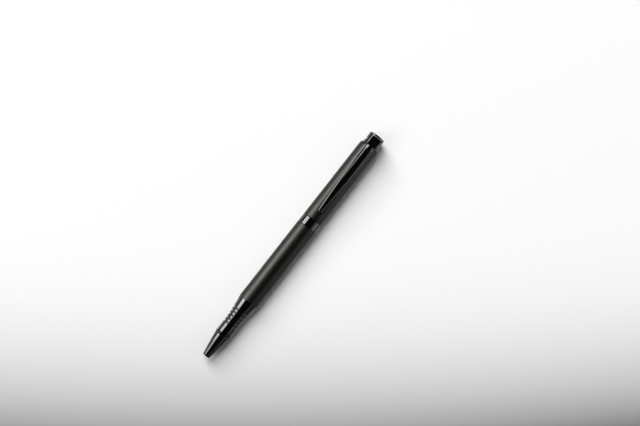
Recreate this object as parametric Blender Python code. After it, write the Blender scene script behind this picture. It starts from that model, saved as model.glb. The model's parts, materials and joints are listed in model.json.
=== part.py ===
"""Twist-action ballpoint pen with a grooved metal front section, two satin barrels and a spring clip.

The pen lies along X on the plane z = 0, nose at -X and cap at +X, with its clip on top (+Z).
Turning the upper barrel half a turn drives a cross pin along two helical slots, which pushes
the refill forward against its return spring. Radii and stations are measured on the pen's own
axis: a station is the distance behind the nose face.
"""

import math

import bmesh
import bpy
from mathutils import Matrix, Vector

MM = 0.001

# Lengths along the axis, front to back
NOSE_LENGTH = 12.85 * MM
NOSE_RING_WIDTH = 1.0 * MM
GRIP_LENGTH = 19.65 * MM
CENTRE_RING_WIDTH = 4.55 * MM
UPPER_BARREL_LENGTH = 46.1 * MM
NECK_RING_WIDTH = 1.8 * MM
CLIP_RING_THICKNESS = 0.65 * MM
TOP_CAP_LENGTH = 3.65 * MM
SEAM = 0.05 * MM

# Outer radii
NOSE_TIP_RADIUS = 1.87 * MM
NOSE_REAR_RADIUS = 3.96 * MM
NOSE_BULGE = 0.1 * MM
NOSE_REAR_EDGE = 0.35 * MM
NOSE_RING_RADIUS = 4.4 * MM
GRIP_FRONT_RADIUS = 3.97 * MM
GRIP_REAR_RADIUS = 5.36 * MM
LOWER_BARREL_RADIUS = 5.38 * MM
CENTRE_RING_RADIUS = 5.23 * MM
UPPER_BARREL_RADIUS = 5.29 * MM
SHOULDER_END_RADIUS = 4.36 * MM
NECK_RADIUS = 4.18 * MM
CLIP_RING_RADIUS = 3.83 * MM

# Walls, edges and fits
BARREL_WALL = 0.55 * MM
BUSH_WALL = 0.4 * MM
CAM_WALL = 0.55 * MM
FIT = 0.05 * MM
RUNNING_FIT = 0.08 * MM
EDGE = 0.12 * MM
RING_EDGE = 0.35 * MM
SHOULDER_LENGTH = 1.95 * MM
CAP_EDGE_RADIUS = 0.45 * MM
CAP_CROWN = 0.2 * MM
CAP_FLAT_RADIUS = 2.0 * MM

# Front section
GRIP_WAIST = 3.1 * MM
GROOVE_COUNT = 5
GROOVE_PITCH = 2.0 * MM
GROOVE_WIDTH = 1.2 * MM
GROOVE_DEPTH = 0.25 * MM
FIRST_GROOVE = 5.45 * MM
THREAD_LENGTH = 7.2 * MM
NOSE_SPIGOT_LENGTH = 5.0 * MM
NOSE_SPIGOT_WALL = 0.4 * MM
EXIT_CLEARANCE = 0.15 * MM
SPRING_SEAT = 4.6 * MM

# Refill, a standard metal one with a stepped neck
REFILL_LENGTH = 98.1 * MM
REFILL_RADIUS = 2.95 * MM
REFILL_WALL = 0.25 * MM
REFILL_NECK_RADIUS = 1.5 * MM
REFILL_SHOULDER = 13.2 * MM
REFILL_SHOULDER_RADIUS = 2.35 * MM
REFILL_INSET = 1.8 * MM
REFILL_CLEARANCE = 0.1 * MM
POINT_RADIUS = 1.15 * MM
POINT_CONE_LENGTH = 2.4 * MM
POINT_LENGTH = 8.0 * MM
POINT_TAIL_LENGTH = 3.0 * MM
POINT_TAIL_RADIUS = 0.75 * MM
BALL_RADIUS = 0.5 * MM
BALL_CLEARANCE = 0.04 * MM
END_PLUG_LENGTH = 2.2 * MM

# Return spring
SPRING_WIRE_RADIUS = 0.175 * MM
SPRING_CLEARANCE = 0.2 * MM
SPRING_END_GAP = 0.1 * MM
SPRING_TURNS = 8
SPRING_POINTS_PER_TURN = 10

# Twist mechanism
TRAVEL = 5.0 * MM
TWIST = math.radians(180)
MECHANISM_BUSH_LENGTH = 8.4 * MM
BEARING_LENGTH = 6.8 * MM
BEARING_SHOULDER_RADIUS = 4.5 * MM
GUIDE_WALL = 0.5 * MM
GUIDE_FRONT = 7.0 * MM
PIN_BEHIND_RING = 27.0 * MM
PIN_RADIUS = 0.6 * MM
PIN_CLEARANCE = 0.12 * MM
CAM_END_WALL = 3.4 * MM
CAM_COLLAR_LENGTH = 2.2 * MM
GUIDE_TAIL = 2.2 * MM
RETAINER_THICKNESS = 0.6 * MM
RETAINER_GROOVE = 0.22 * MM
RETAINER_HEIGHT = 0.95 * MM
RETAINER_OPENING = 1.9 * MM
O_RING_RADIUS = 0.17 * MM
O_RING_STATION = 4.2 * MM
PLUNGER_LENGTH = 14.05 * MM
PLUNGER_TAIL = 2.4 * MM

# Top assembly
TOP_PLUG_LENGTH = 6.8 * MM
STUD_RADIUS = 1.22 * MM
STUD_DEPTH_IN_CAP = 2.2 * MM
STUD_TAIL = 6.0 * MM
NECK_SPIGOT_RADIUS = 3.2 * MM
TAB_WIDTH = 2.4 * MM
TAB_DEPTH = 0.9 * MM
TAB_CLEARANCE = 0.16 * MM

# Clip
CLIP_SEAT_GAP = 0.25 * MM
CLIP_RISE_LENGTH = 2.05 * MM
CLIP_RISE_BEHIND_BARREL = 0.68 * MM
CLIP_TAIL = 2.5 * MM
CLIP_LENGTH = 46.0 * MM
CLIP_CREST_LENGTH = 0.8 * MM
CLIP_CREST_BEHIND_BARREL = 0.25 * MM
CLIP_ROOT_HALF_WIDTH = 3.0 * MM
CLIP_TIP_HALF_WIDTH = 0.95 * MM
CLIP_TAPER_START = 13.8 * MM
CLIP_ROOT_THICKNESS = 3.05 * MM
CLIP_BEVEL_WIDTH = 0.6 * MM
CLIP_BEVEL_HEIGHT = 0.4 * MM
CLIP_END_BEVEL = 0.4 * MM
CLIP_SIDE_HEIGHT = 0.2 * MM
CLIP_ROUND_STEPS = 5
CLIP_SIDE_TILT = math.radians(60)
CLIP_FACET_TILT_ROOT = math.radians(32)
CLIP_FACET_TILT_TIP = math.radians(44)
CLIP_FACET_HALF_WIDTH = 1.35 * MM
CLIP_FACET_BORDER = 0.65 * MM
CLIP_FACET_LEAST_SHARE = 0.35
CLIP_BLADE_GAP = 0.35 * MM
CLIP_ARCH = 0.3 * MM
CLIP_FOOT_GAP = 0.06 * MM
CLIP_FOOT_FROM_TIP = 1.9 * MM
CLIP_FOOT_LENGTH = 4.0 * MM

OUTER_SIDES = 36
INNER_SIDES = 28
SMALL_SIDES = 20
SLOT_STEPS = 18

# Stations, worked out from the lengths above. Refill and plunger set where the pin is, the
# mechanism's centre ring lies a fixed way in front of the pin, and the lower barrel reaches to it.
NOSE_RING_FRONT = NOSE_LENGTH + SEAM
GRIP_FRONT = NOSE_RING_FRONT + NOSE_RING_WIDTH + SEAM
GRIP_REAR = GRIP_FRONT + GRIP_LENGTH
LOWER_FRONT = GRIP_REAR + SEAM
REFILL_REAR = REFILL_INSET + REFILL_LENGTH
PIN_STATION = REFILL_REAR + SEAM + PLUNGER_LENGTH - PLUNGER_TAIL
RING_REAR = PIN_STATION - PIN_BEHIND_RING
RING_FRONT = RING_REAR - CENTRE_RING_WIDTH
LOWER_REAR = RING_FRONT - SEAM
UPPER_FRONT = RING_REAR + SEAM
UPPER_REAR = UPPER_FRONT + UPPER_BARREL_LENGTH
NECK_FRONT = UPPER_REAR + SEAM
NECK_REAR = NECK_FRONT + NECK_RING_WIDTH
CLIP_RING_FRONT = NECK_REAR + SEAM
CLIP_RING_REAR = CLIP_RING_FRONT + CLIP_RING_THICKNESS
CAP_FRONT = CLIP_RING_REAR + SEAM
PEN_LENGTH = CAP_FRONT + TOP_CAP_LENGTH
AXIS_HEIGHT = LOWER_BARREL_RADIUS * math.cos(math.pi / OUTER_SIDES)

# Refill, spring and mechanism stations and radii
SHOULDER_STATION = REFILL_INSET + REFILL_SHOULDER
REFILL_BORE = REFILL_RADIUS + REFILL_CLEARANCE
LOWER_BORE = LOWER_BARREL_RADIUS - BARREL_WALL
UPPER_BORE = UPPER_BARREL_RADIUS - BARREL_WALL
FRONT_BUSH_BORE = LOWER_BORE - FIT - BUSH_WALL
THREAD_RADIUS = FRONT_BUSH_BORE - RUNNING_FIT
GUIDE_RADIUS = REFILL_BORE + GUIDE_WALL
CAM_BORE = GUIDE_RADIUS + RUNNING_FIT
CAM_RADIUS = CAM_BORE + CAM_WALL
BEARING_BORE = UPPER_BORE - FIT - BUSH_WALL
BEARING_RADIUS = BEARING_BORE - RUNNING_FIT
CAM_FRONT = PIN_STATION - TRAVEL - CAM_END_WALL
CAM_REAR = PIN_STATION + CAM_END_WALL
RETAINER_FRONT = CAM_REAR + RUNNING_FIT
GUIDE_REAR = RETAINER_FRONT + RETAINER_THICKNESS + GUIDE_TAIL
NECK_STUD_BORE = STUD_RADIUS + RUNNING_FIT
CLIP_PIVOT_STATION = CLIP_RING_FRONT + CLIP_RING_THICKNESS / 2
CLIP_PIVOT_HEIGHT = NECK_RADIUS + CLIP_SEAT_GAP
CLIP_REAR = CLIP_PIVOT_STATION + CLIP_TAIL
CLIP_TIP = CLIP_REAR - CLIP_LENGTH
CLIP_RISE_REAR = UPPER_REAR + CLIP_RISE_BEHIND_BARREL
CLIP_RISE_FRONT = CLIP_RISE_REAR - CLIP_RISE_LENGTH
CLIP_CREST_REAR = UPPER_REAR + CLIP_CREST_BEHIND_BARREL
CLIP_CREST_FRONT = CLIP_CREST_REAR - CLIP_CREST_LENGTH
CLIP_ROOT_SEAT = NECK_RADIUS + CLIP_SEAT_GAP
CLIP_ROOT_TOP = CLIP_ROOT_SEAT + CLIP_ROOT_THICKNESS
CLIP_FOOT_STATION = CLIP_TIP + CLIP_FOOT_FROM_TIP

bodies = {}


def clear_scene():
    for old in list(bpy.data.objects):
        bpy.data.objects.remove(old)


def material(name, colour, roughness, metallic):
    made = bpy.data.materials.get(name)
    if made:
        return made
    made = bpy.data.materials.new(name)
    made.use_nodes = True
    shader = made.node_tree.nodes["Principled BSDF"]
    shader.inputs["Base Color"].default_value = (*colour, 1.0)
    shader.inputs["Roughness"].default_value = roughness
    shader.inputs["Metallic"].default_value = metallic
    made.diffuse_color = (*colour, 1.0)
    return made


def black_lacquer():
    return material("black_lacquer", (0.008, 0.008, 0.009), 0.08, 0.6)


def satin_gunmetal():
    return material("satin_gunmetal", (0.16, 0.16, 0.15), 0.36, 0.9)


def brass():
    return material("brass", (0.72, 0.5, 0.2), 0.3, 1.0)


def steel():
    return material("steel", (0.6, 0.6, 0.6), 0.28, 1.0)


def acetal():
    return material("acetal", (0.75, 0.74, 0.7), 0.45, 0.0)


def rubber():
    return material("rubber", (0.03, 0.03, 0.03), 0.7, 0.0)


def body_empty(name, station, height=0.0, parent=None):
    """The empty that carries a moving body's pieces, on its joint's axis."""
    empty = bpy.data.objects.new(name + "_axis", None)
    empty.empty_display_size = 4 * MM
    bpy.context.scene.collection.objects.link(empty)
    place = Vector((station - PEN_LENGTH / 2, 0, AXIS_HEIGHT + height))
    bodies[name] = (empty, place)
    if parent:
        empty.parent = bodies[parent][0]
        empty.location = place - bodies[parent][1]
    else:
        empty.location = place


def finish(name, mesh, body, origin, look=None, smooth_angle=30):
    """An object of the mesh, given in pen stations, with its origin at a station on the axis."""
    bmesh.ops.recalc_face_normals(mesh, faces=mesh.faces)
    bmesh.ops.translate(mesh, verts=mesh.verts, vec=(-origin, 0, 0))
    data = bpy.data.meshes.new(name)
    mesh.to_mesh(data)
    mesh.free()
    data.shade_smooth()
    data.set_sharp_from_angle(angle=math.radians(smooth_angle))
    piece = bpy.data.objects.new(name, data)
    bpy.context.scene.collection.objects.link(piece)
    if look:
        data.materials.append(look)
    seat_on(piece, body, origin)
    return piece


def seat_on(piece, body, origin):
    empty, place = bodies[body]
    piece.parent = empty
    piece.location = Vector((origin - PEN_LENGTH / 2, 0, AXIS_HEIGHT)) - place


def turned(name, body, profile, look, sides=OUTER_SIDES):
    """A turned piece from (station, radius) points. A profile that ends on the axis is solid there."""
    mesh = bmesh.new()
    points = [mesh.verts.new((x, 0, r)) for x, r in profile]
    edges = [mesh.edges.new(pair) for pair in zip(points, points[1:])]
    if profile[0][1] > 0:
        edges.append(mesh.edges.new((points[-1], points[0])))
    half_step = Matrix.Rotation(math.pi / sides, 3, "X")
    bmesh.ops.rotate(mesh, verts=points, cent=(0, 0, 0), matrix=half_step)
    bmesh.ops.spin(
        mesh, geom=points + edges, cent=(0, 0, 0), axis=(1, 0, 0), angle=math.tau,
        steps=sides, use_merge=True, use_duplicate=False,
    )
    bmesh.ops.remove_doubles(mesh, verts=mesh.verts, dist=1e-7)
    return finish(name, mesh, body, profile[0][0], look)


def lofted(name, body, sections, origin, look=None, smooth_angle=30):
    """A closed body through sections with equally many points each."""
    mesh = bmesh.new()
    loops = [[mesh.verts.new(point) for point in section] for section in sections]
    for loop in (loops[0], loops[-1]):
        mesh.faces.new(loop)
    for before, after in zip(loops, loops[1:]):
        for i, corner in enumerate(before):
            mesh.faces.new((before[i - 1], corner, after[i], after[i - 1]))
    bmesh.ops.triangulate(mesh, faces=mesh.faces)
    return finish(name, mesh, body, origin, look, smooth_angle)


def arc(centre, radii, start, end, steps):
    """Points of an elliptic arc in (station, radius), angles in degrees from +station."""
    angles = [math.radians(start + (end - start) * i / steps) for i in range(steps + 1)]
    return [
        (centre[0] + radii[0] * math.cos(a), centre[1] + radii[1] * math.sin(a)) for a in angles
    ]


def smooth(value, low, high):
    """0 at low, 1 at high, with level ends."""
    share = min(max((value - low) / (high - low), 0), 1)
    return share * share * (3 - 2 * share)


def helper(piece):
    piece.hide_render = True
    piece.display_type = "WIRE"
    return piece


def boolean(piece, other, operation="DIFFERENCE"):
    modifier = piece.modifiers.new(other.name, "BOOLEAN")
    modifier.operation = operation
    modifier.object = helper(other)


def cross_drill(name, body, station, radius, reach):
    """A cutter along Y through the axis."""
    mesh = bmesh.new()
    bmesh.ops.create_cone(
        mesh, cap_ends=True, segments=SMALL_SIDES, radius1=radius, radius2=radius, depth=2 * reach,
        matrix=Matrix.Translation((station, 0, 0)) @ Matrix.Rotation(math.pi / 2, 4, "X"),
    )
    return finish(name, mesh, body, station)


def block(name, body, low, high, origin):
    mesh = bmesh.new()
    size = Vector(high) - Vector(low)
    middle = (Vector(high) + Vector(low)) / 2
    bmesh.ops.create_cube(mesh, matrix=Matrix.Translation(middle) @ Matrix.Diagonal((*size, 1)))
    return finish(name, mesh, body, origin)


def nose_radius(station):
    """A slightly full cone."""
    share = station / NOSE_LENGTH
    cone = NOSE_TIP_RADIUS + (NOSE_REAR_RADIUS - NOSE_TIP_RADIUS) * share
    return cone + NOSE_BULGE * math.sin(math.pi * share)


def nose_cone():
    """The cone with the refill's exit, the spring seat and a threaded spigot behind it."""
    steps = 8
    rim = NOSE_LENGTH - NOSE_REAR_EDGE
    outer = [(rim * i / steps, nose_radius(rim * i / steps)) for i in range(steps)]
    rim_radii = (NOSE_REAR_EDGE, NOSE_REAR_EDGE)
    outer += arc((rim, nose_radius(rim) - NOSE_REAR_EDGE), rim_radii, 90, 0, 3)
    outer[0] = (0, NOSE_TIP_RADIUS - EDGE)
    outer.insert(1, (EDGE, NOSE_TIP_RADIUS))
    spigot_radius = REFILL_BORE + NOSE_SPIGOT_WALL
    spigot_rear = NOSE_LENGTH + NOSE_SPIGOT_LENGTH
    exit_radius = POINT_RADIUS + EXIT_CLEARANCE
    chamber = REFILL_NECK_RADIUS + SPRING_CLEARANCE + 2 * SPRING_WIRE_RADIUS + SPRING_CLEARANCE
    body_bore = SHOULDER_STATION - TRAVEL
    profile = outer + [
        (NOSE_LENGTH, spigot_radius),
        (spigot_rear - EDGE, spigot_radius),
        (spigot_rear, spigot_radius - EDGE),
        (spigot_rear, REFILL_BORE),
        (body_bore - EDGE, REFILL_BORE),
        (body_bore - EDGE - (REFILL_BORE - chamber) / 2, chamber),
        (SPRING_SEAT, chamber),
        (SPRING_SEAT, exit_radius),
        (EDGE, exit_radius),
        (0, exit_radius + EDGE / 2),
    ]
    turned("nose_cone", "front_section", profile, black_lacquer())


def nose_ring():
    """The narrow half-round trim ring clamped between the nose cone and the grip."""
    middle = NOSE_RING_FRONT + NOSE_RING_WIDTH / 2
    bore = REFILL_BORE + NOSE_SPIGOT_WALL + FIT
    crown = NOSE_RING_RADIUS - NOSE_REAR_RADIUS
    bead = arc((middle, NOSE_REAR_RADIUS), (NOSE_RING_WIDTH / 2, crown), 180, 0, 5)
    profile = [(NOSE_RING_FRONT, bore)] + bead + [(NOSE_RING_FRONT + NOSE_RING_WIDTH, bore)]
    turned("nose_ring", "front_section", profile, black_lacquer())


def grip_radius(station):
    """A straight front, then a flare that grows with the square of the distance."""
    flare_length = GRIP_REAR - GRIP_FRONT - GRIP_WAIST
    along = max(station - GRIP_FRONT - GRIP_WAIST, 0) / flare_length
    return GRIP_FRONT_RADIUS + (GRIP_REAR_RADIUS - GRIP_FRONT_RADIUS) * along**2


def grip_section():
    """The flared grip with its turned grooves and the threaded spigot that screws into the barrel."""
    front_edge = 2 * EDGE
    edge_centre = (GRIP_FRONT + front_edge, GRIP_FRONT_RADIUS - front_edge)
    outer = arc(edge_centre, (front_edge, front_edge), 180, 90, 3)
    outer.append((GRIP_FRONT + GRIP_WAIST, grip_radius(GRIP_FRONT + GRIP_WAIST)))
    for i in range(GROOVE_COUNT):
        centre = GRIP_FRONT + FIRST_GROOVE + i * GROOVE_PITCH
        for offset, depth in ((-0.5, 0), (-0.28, 0.85), (0, 1), (0.28, 0.85), (0.5, 0)):
            station = centre + offset * GROOVE_WIDTH
            outer.append((station, grip_radius(station) - depth * GROOVE_DEPTH))
    last = outer[-1][0]
    for i in range(1, 5):
        station = last + (GRIP_REAR - EDGE - last) * i / 4
        outer.append((station, grip_radius(station)))
    outer.append((GRIP_REAR, grip_radius(GRIP_REAR) - EDGE))
    socket = REFILL_BORE + NOSE_SPIGOT_WALL + FIT
    socket_end = NOSE_LENGTH + NOSE_SPIGOT_LENGTH + SEAM
    spigot_rear = GRIP_REAR + THREAD_LENGTH
    profile = outer + [
        (GRIP_REAR, THREAD_RADIUS),
        (spigot_rear - EDGE, THREAD_RADIUS),
        (spigot_rear, THREAD_RADIUS - EDGE),
        (spigot_rear, REFILL_BORE),
        (socket_end, REFILL_BORE),
        (socket_end, socket),
        (GRIP_FRONT, socket),
    ]
    turned("grip_section", "front_section", profile, black_lacquer())


def return_spring():
    """One unbroken helix round the refill's neck, from the nose seat to the refill's shoulder."""
    mean = REFILL_NECK_RADIUS + SPRING_CLEARANCE + SPRING_WIRE_RADIUS
    front = SPRING_SEAT + SPRING_END_GAP + SPRING_WIRE_RADIUS
    rear = SHOULDER_STATION - SPRING_END_GAP - SPRING_WIRE_RADIUS
    count = SPRING_TURNS * SPRING_POINTS_PER_TURN
    points = []
    for i in range(count + 1):
        angle = math.tau * i / SPRING_POINTS_PER_TURN
        station = front + (rear - front) * i / count
        points.append(Vector((station, mean * math.cos(angle), mean * math.sin(angle))))
    lead_in = (points[0] - points[1]).normalized() * 2 * SPRING_WIRE_RADIUS
    lead_out = (points[-1] - points[-2]).normalized() * 2 * SPRING_WIRE_RADIUS
    lead_in.x = 0
    lead_out.x = 0
    points = [points[0] + lead_in] + points + [points[-1] + lead_out]
    least = min(
        (a - b).length
        for i, a in enumerate(points)
        for b in points[i + SPRING_POINTS_PER_TURN // 2 :]
    )
    print(f"return spring: least gap to itself {(least - 2 * SPRING_WIRE_RADIUS) / MM:.2f} mm")
    data = bpy.data.curves.new("return_spring", "CURVE")
    data.dimensions = "3D"
    data.bevel_depth = SPRING_WIRE_RADIUS
    data.bevel_resolution = 1
    data.use_fill_caps = True
    wire = data.splines.new("POLY")
    wire.points.add(len(points) - 1)
    for stored, point in zip(wire.points, points):
        stored.co = (point.x - front, point.y, point.z, 1)
    data.materials.append(steel())
    spring = bpy.data.objects.new("return_spring", data)
    bpy.context.scene.collection.objects.link(spring)
    seat_on(spring, "front_section", front)


def tube(name, body, front, rear, radius, bore, look, sides=OUTER_SIDES):
    """A plain turned sleeve with its outer edges broken."""
    profile = [
        (front, radius - EDGE),
        (front + EDGE, radius),
        (rear - EDGE, radius),
        (rear, radius - EDGE),
        (rear, bore),
        (front, bore),
    ]
    return turned(name, body, profile, look, sides)


def lower_barrel():
    tube("lower_barrel", "lower_body", LOWER_FRONT, LOWER_REAR, LOWER_BARREL_RADIUS, LOWER_BORE,
         satin_gunmetal())
    bush_front = LOWER_FRONT + EDGE
    tube("front_bush", "lower_body", bush_front, GRIP_REAR + THREAD_LENGTH + FIT,
         LOWER_BORE - FIT, FRONT_BUSH_BORE, brass(), INNER_SIDES)


def centre_ring():
    """The glossy ring between the barrels, with its rounded edges."""
    bore = BEARING_SHOULDER_RADIUS + FIT
    low = CENTRE_RING_RADIUS - RING_EDGE
    radii = (RING_EDGE, RING_EDGE)
    front_edge = arc((RING_FRONT + RING_EDGE, low), radii, 180, 90, 2)
    rear_edge = arc((RING_REAR - RING_EDGE, low), radii, 90, 0, 2)
    profile = [(RING_FRONT, bore)] + front_edge + rear_edge + [(RING_REAR, bore)]
    turned("centre_ring", "lower_body", profile, black_lacquer())


def mechanism_bush():
    """Pressed in the lower barrel, it carries the centre ring, the guide tube and the upper barrel."""
    collar_front = LOWER_REAR - MECHANISM_BUSH_LENGTH
    bearing_rear = UPPER_FRONT + BEARING_LENGTH
    groove = UPPER_FRONT + O_RING_STATION
    groove_half = O_RING_RADIUS + FIT
    groove_radius = o_ring_centre() - O_RING_RADIUS - FIT / 2
    profile = [
        (collar_front, LOWER_BORE - FIT - EDGE),
        (collar_front + EDGE, LOWER_BORE - FIT),
        (LOWER_REAR - SEAM, LOWER_BORE - FIT),
        (LOWER_REAR - SEAM, BEARING_SHOULDER_RADIUS),
        (RING_REAR - SEAM, BEARING_SHOULDER_RADIUS),
        (RING_REAR - SEAM, BEARING_RADIUS),
        (groove - groove_half, BEARING_RADIUS),
        (groove - groove_half, groove_radius),
        (groove + groove_half, groove_radius),
        (groove + groove_half, BEARING_RADIUS),
        (bearing_rear - EDGE, BEARING_RADIUS),
        (bearing_rear, BEARING_RADIUS - EDGE),
        (bearing_rear, GUIDE_RADIUS + FIT),
        (collar_front, GUIDE_RADIUS + FIT),
    ]
    turned("mechanism_bush", "lower_body", profile, brass(), INNER_SIDES)


def o_ring_centre():
    return BEARING_BORE - FIT / 2 - O_RING_RADIUS - FIT / 4


def o_ring():
    """The rubber ring in the bearing's groove, which gives the twist its drag."""
    centre = (UPPER_FRONT + O_RING_STATION, o_ring_centre())
    section = arc(centre, (O_RING_RADIUS, O_RING_RADIUS), 180, -180, 6)[:-1]
    turned("o_ring", "lower_body", section, rubber(), INNER_SIDES)


def guide_tube():
    """The slotted tube that keeps the plunger's pin from turning, with a groove for its retainer."""
    front = LOWER_REAR - GUIDE_FRONT
    groove_radius = GUIDE_RADIUS - RETAINER_GROOVE
    groove_rear = RETAINER_FRONT + RETAINER_THICKNESS + 2 * FIT
    profile = [
        (front, GUIDE_RADIUS),
        (RETAINER_FRONT - FIT, GUIDE_RADIUS),
        (RETAINER_FRONT - FIT, groove_radius),
        (groove_rear, groove_radius),
        (groove_rear, GUIDE_RADIUS),
        (GUIDE_REAR, GUIDE_RADIUS),
        (GUIDE_REAR, REFILL_BORE),
        (front, REFILL_BORE),
    ]
    guide = turned("guide_tube", "lower_body", profile, steel(), INNER_SIDES)
    half_width = PIN_RADIUS + FIT
    reach = GUIDE_RADIUS + 2 * EDGE
    rear_end = arc((PIN_STATION + PIN_CLEARANCE, 0), (half_width, half_width), 90, -90, 6)
    front_end = arc(
        (PIN_STATION - TRAVEL - PIN_CLEARANCE, 0), (half_width, half_width), -90, -270, 6
    )
    outline = rear_end + front_end
    sections = [[(x, side * reach, z) for x, z in outline] for side in (-1, 1)]
    boolean(guide, lofted("guide_slot_cutter", "lower_body", sections, PIN_STATION))


def retaining_ring():
    """The open ring in the guide tube's groove, which keeps the upper barrel on."""
    bore = GUIDE_RADIUS - RETAINER_GROOVE + FIT
    rear = RETAINER_FRONT + RETAINER_THICKNESS
    radius = bore + RETAINER_HEIGHT
    ring = turned(
        "retaining_ring", "lower_body",
        [(RETAINER_FRONT, bore), (RETAINER_FRONT, radius), (rear, radius), (rear, bore)],
        steel(), INNER_SIDES,
    )
    half_gap = RETAINER_OPENING / 2
    gap = block(
        "retainer_gap_cutter", "lower_body",
        (RETAINER_FRONT - EDGE, -half_gap, -2 * radius), (rear + EDGE, half_gap, 0), RETAINER_FRONT,
    )
    boolean(ring, gap)


def cam_tube():
    """The moulded sleeve with two helical slots that turns half a turn into the refill's travel."""
    collar = UPPER_BORE - FIT
    front_collar = CAM_FRONT + CAM_COLLAR_LENGTH
    rear_collar = CAM_REAR - CAM_COLLAR_LENGTH
    profile = [
        (CAM_FRONT, collar - EDGE),
        (CAM_FRONT + EDGE, collar),
        (front_collar, collar),
        (front_collar, CAM_RADIUS),
        (rear_collar, CAM_RADIUS),
        (rear_collar, collar),
        (CAM_REAR - EDGE, collar),
        (CAM_REAR, collar - EDGE),
        (CAM_REAR, CAM_BORE),
        (CAM_FRONT, CAM_BORE),
    ]
    cam = turned("cam_tube", "upper_body", profile, acetal(), INNER_SIDES)
    for number, first in enumerate((0.0, math.pi)):
        boolean(cam, helical_cutter(f"cam_slot_cutter_{number}", first, collar + 2 * EDGE))


def helical_cutter(name, first, outside):
    """A band along the pin's path round the cam tube, with rounded ends."""
    half_width = PIN_RADIUS + PIN_CLEARANCE
    half_along = half_width / math.cos(math.atan(TRAVEL / (TWIST * CAM_BORE)))
    inside = CAM_BORE - 2 * EDGE
    rounding = [math.radians(degrees) for degrees in (76, 52, 26)]
    path = [
        (PIN_STATION, first - half_width * math.sin(a) / CAM_BORE, half_along * math.cos(a))
        for a in rounding
    ]
    for i in range(SLOT_STEPS + 1):
        share = i / SLOT_STEPS
        path.append((PIN_STATION - TRAVEL * share, first + TWIST * share, half_along))
    path += [
        (
            PIN_STATION - TRAVEL,
            first + TWIST + half_width * math.sin(a) / CAM_BORE,
            half_along * math.cos(a),
        )
        for a in reversed(rounding)
    ]
    sections = []
    for station, angle, half in path:
        corners = ((-half, inside), (-half, outside), (half, outside), (half, inside))
        sections.append(
            [(station + dx, r * math.cos(angle), r * math.sin(angle)) for dx, r in corners]
        )
    return lofted(name, "upper_body", sections, PIN_STATION)


def upper_barrel():
    """The satin tube drawn in to a rounded shoulder with a hole for the neck ring."""
    shoulder_front = UPPER_REAR - SHOULDER_LENGTH
    drop = UPPER_BARREL_RADIUS - SHOULDER_END_RADIUS
    shoulder = arc((shoulder_front, SHOULDER_END_RADIUS), (SHOULDER_LENGTH, drop), 90, 0, 6)
    hole = NECK_SPIGOT_RADIUS + FIT
    profile = [
        (UPPER_FRONT, UPPER_BARREL_RADIUS - EDGE),
        (UPPER_FRONT + EDGE, UPPER_BARREL_RADIUS),
        *shoulder,
        (UPPER_REAR, hole),
        (shoulder_front, hole),
        (shoulder_front, UPPER_BORE),
        (UPPER_FRONT, UPPER_BORE),
    ]
    turned("upper_barrel", "upper_body", profile, satin_gunmetal())
    tube("bearing_sleeve", "upper_body", UPPER_FRONT + EDGE, UPPER_FRONT + BEARING_LENGTH,
         UPPER_BORE - FIT, BEARING_BORE, acetal(), INNER_SIDES)


def top_assembly():
    """Plug, neck ring, clip ring and cap, drawn together by one stud."""
    plug_rear = UPPER_REAR - SHOULDER_LENGTH - SEAM
    plug_front = plug_rear - TOP_PLUG_LENGTH
    tube("top_plug", "upper_body", plug_front, plug_rear, UPPER_BORE - FIT, NECK_STUD_BORE,
         brass(), INNER_SIDES)
    spigot_front = plug_rear + 2 * SEAM
    neck = [
        (spigot_front, NECK_STUD_BORE),
        (spigot_front, NECK_SPIGOT_RADIUS),
        (NECK_FRONT, NECK_SPIGOT_RADIUS),
        (NECK_FRONT, NECK_RADIUS - EDGE),
        (NECK_FRONT + EDGE, NECK_RADIUS),
        (NECK_REAR - 2 * EDGE, NECK_RADIUS),
        (NECK_REAR, NECK_RADIUS - 2 * EDGE),
        (NECK_REAR, NECK_STUD_BORE),
    ]
    turned("neck_ring", "upper_body", neck, black_lacquer())
    ring = turned(
        "clip_ring", "upper_body",
        [
            (CLIP_RING_FRONT, NECK_STUD_BORE), (CLIP_RING_FRONT, CLIP_RING_RADIUS),
            (CLIP_RING_REAR, CLIP_RING_RADIUS), (CLIP_RING_REAR, NECK_STUD_BORE),
        ],
        black_lacquer(), INNER_SIDES,
    )
    tab_top = math.sqrt((CLIP_PIVOT_HEIGHT - TAB_CLEARANCE) ** 2 - (TAB_WIDTH / 2) ** 2)
    tab = block(
        "clip_tab", "upper_body",
        (CLIP_RING_FRONT + EDGE, -TAB_WIDTH / 2, tab_top - TAB_DEPTH),
        (CLIP_RING_REAR - EDGE, TAB_WIDTH / 2, tab_top),
        CLIP_RING_FRONT,
    )
    boolean(ring, tab, "UNION")
    top_cap()
    stud_rear = CAP_FRONT + STUD_DEPTH_IN_CAP
    stud_front = plug_rear - STUD_TAIL
    stud = [
        (stud_front, 0),
        (stud_front, STUD_RADIUS - 2 * EDGE),
        (stud_front + 2 * EDGE, STUD_RADIUS),
        (stud_rear - 2 * EDGE, STUD_RADIUS),
        (stud_rear, STUD_RADIUS - 2 * EDGE),
        (stud_rear, 0),
    ]
    turned("cap_stud", "upper_body", stud, steel(), SMALL_SIDES)


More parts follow.
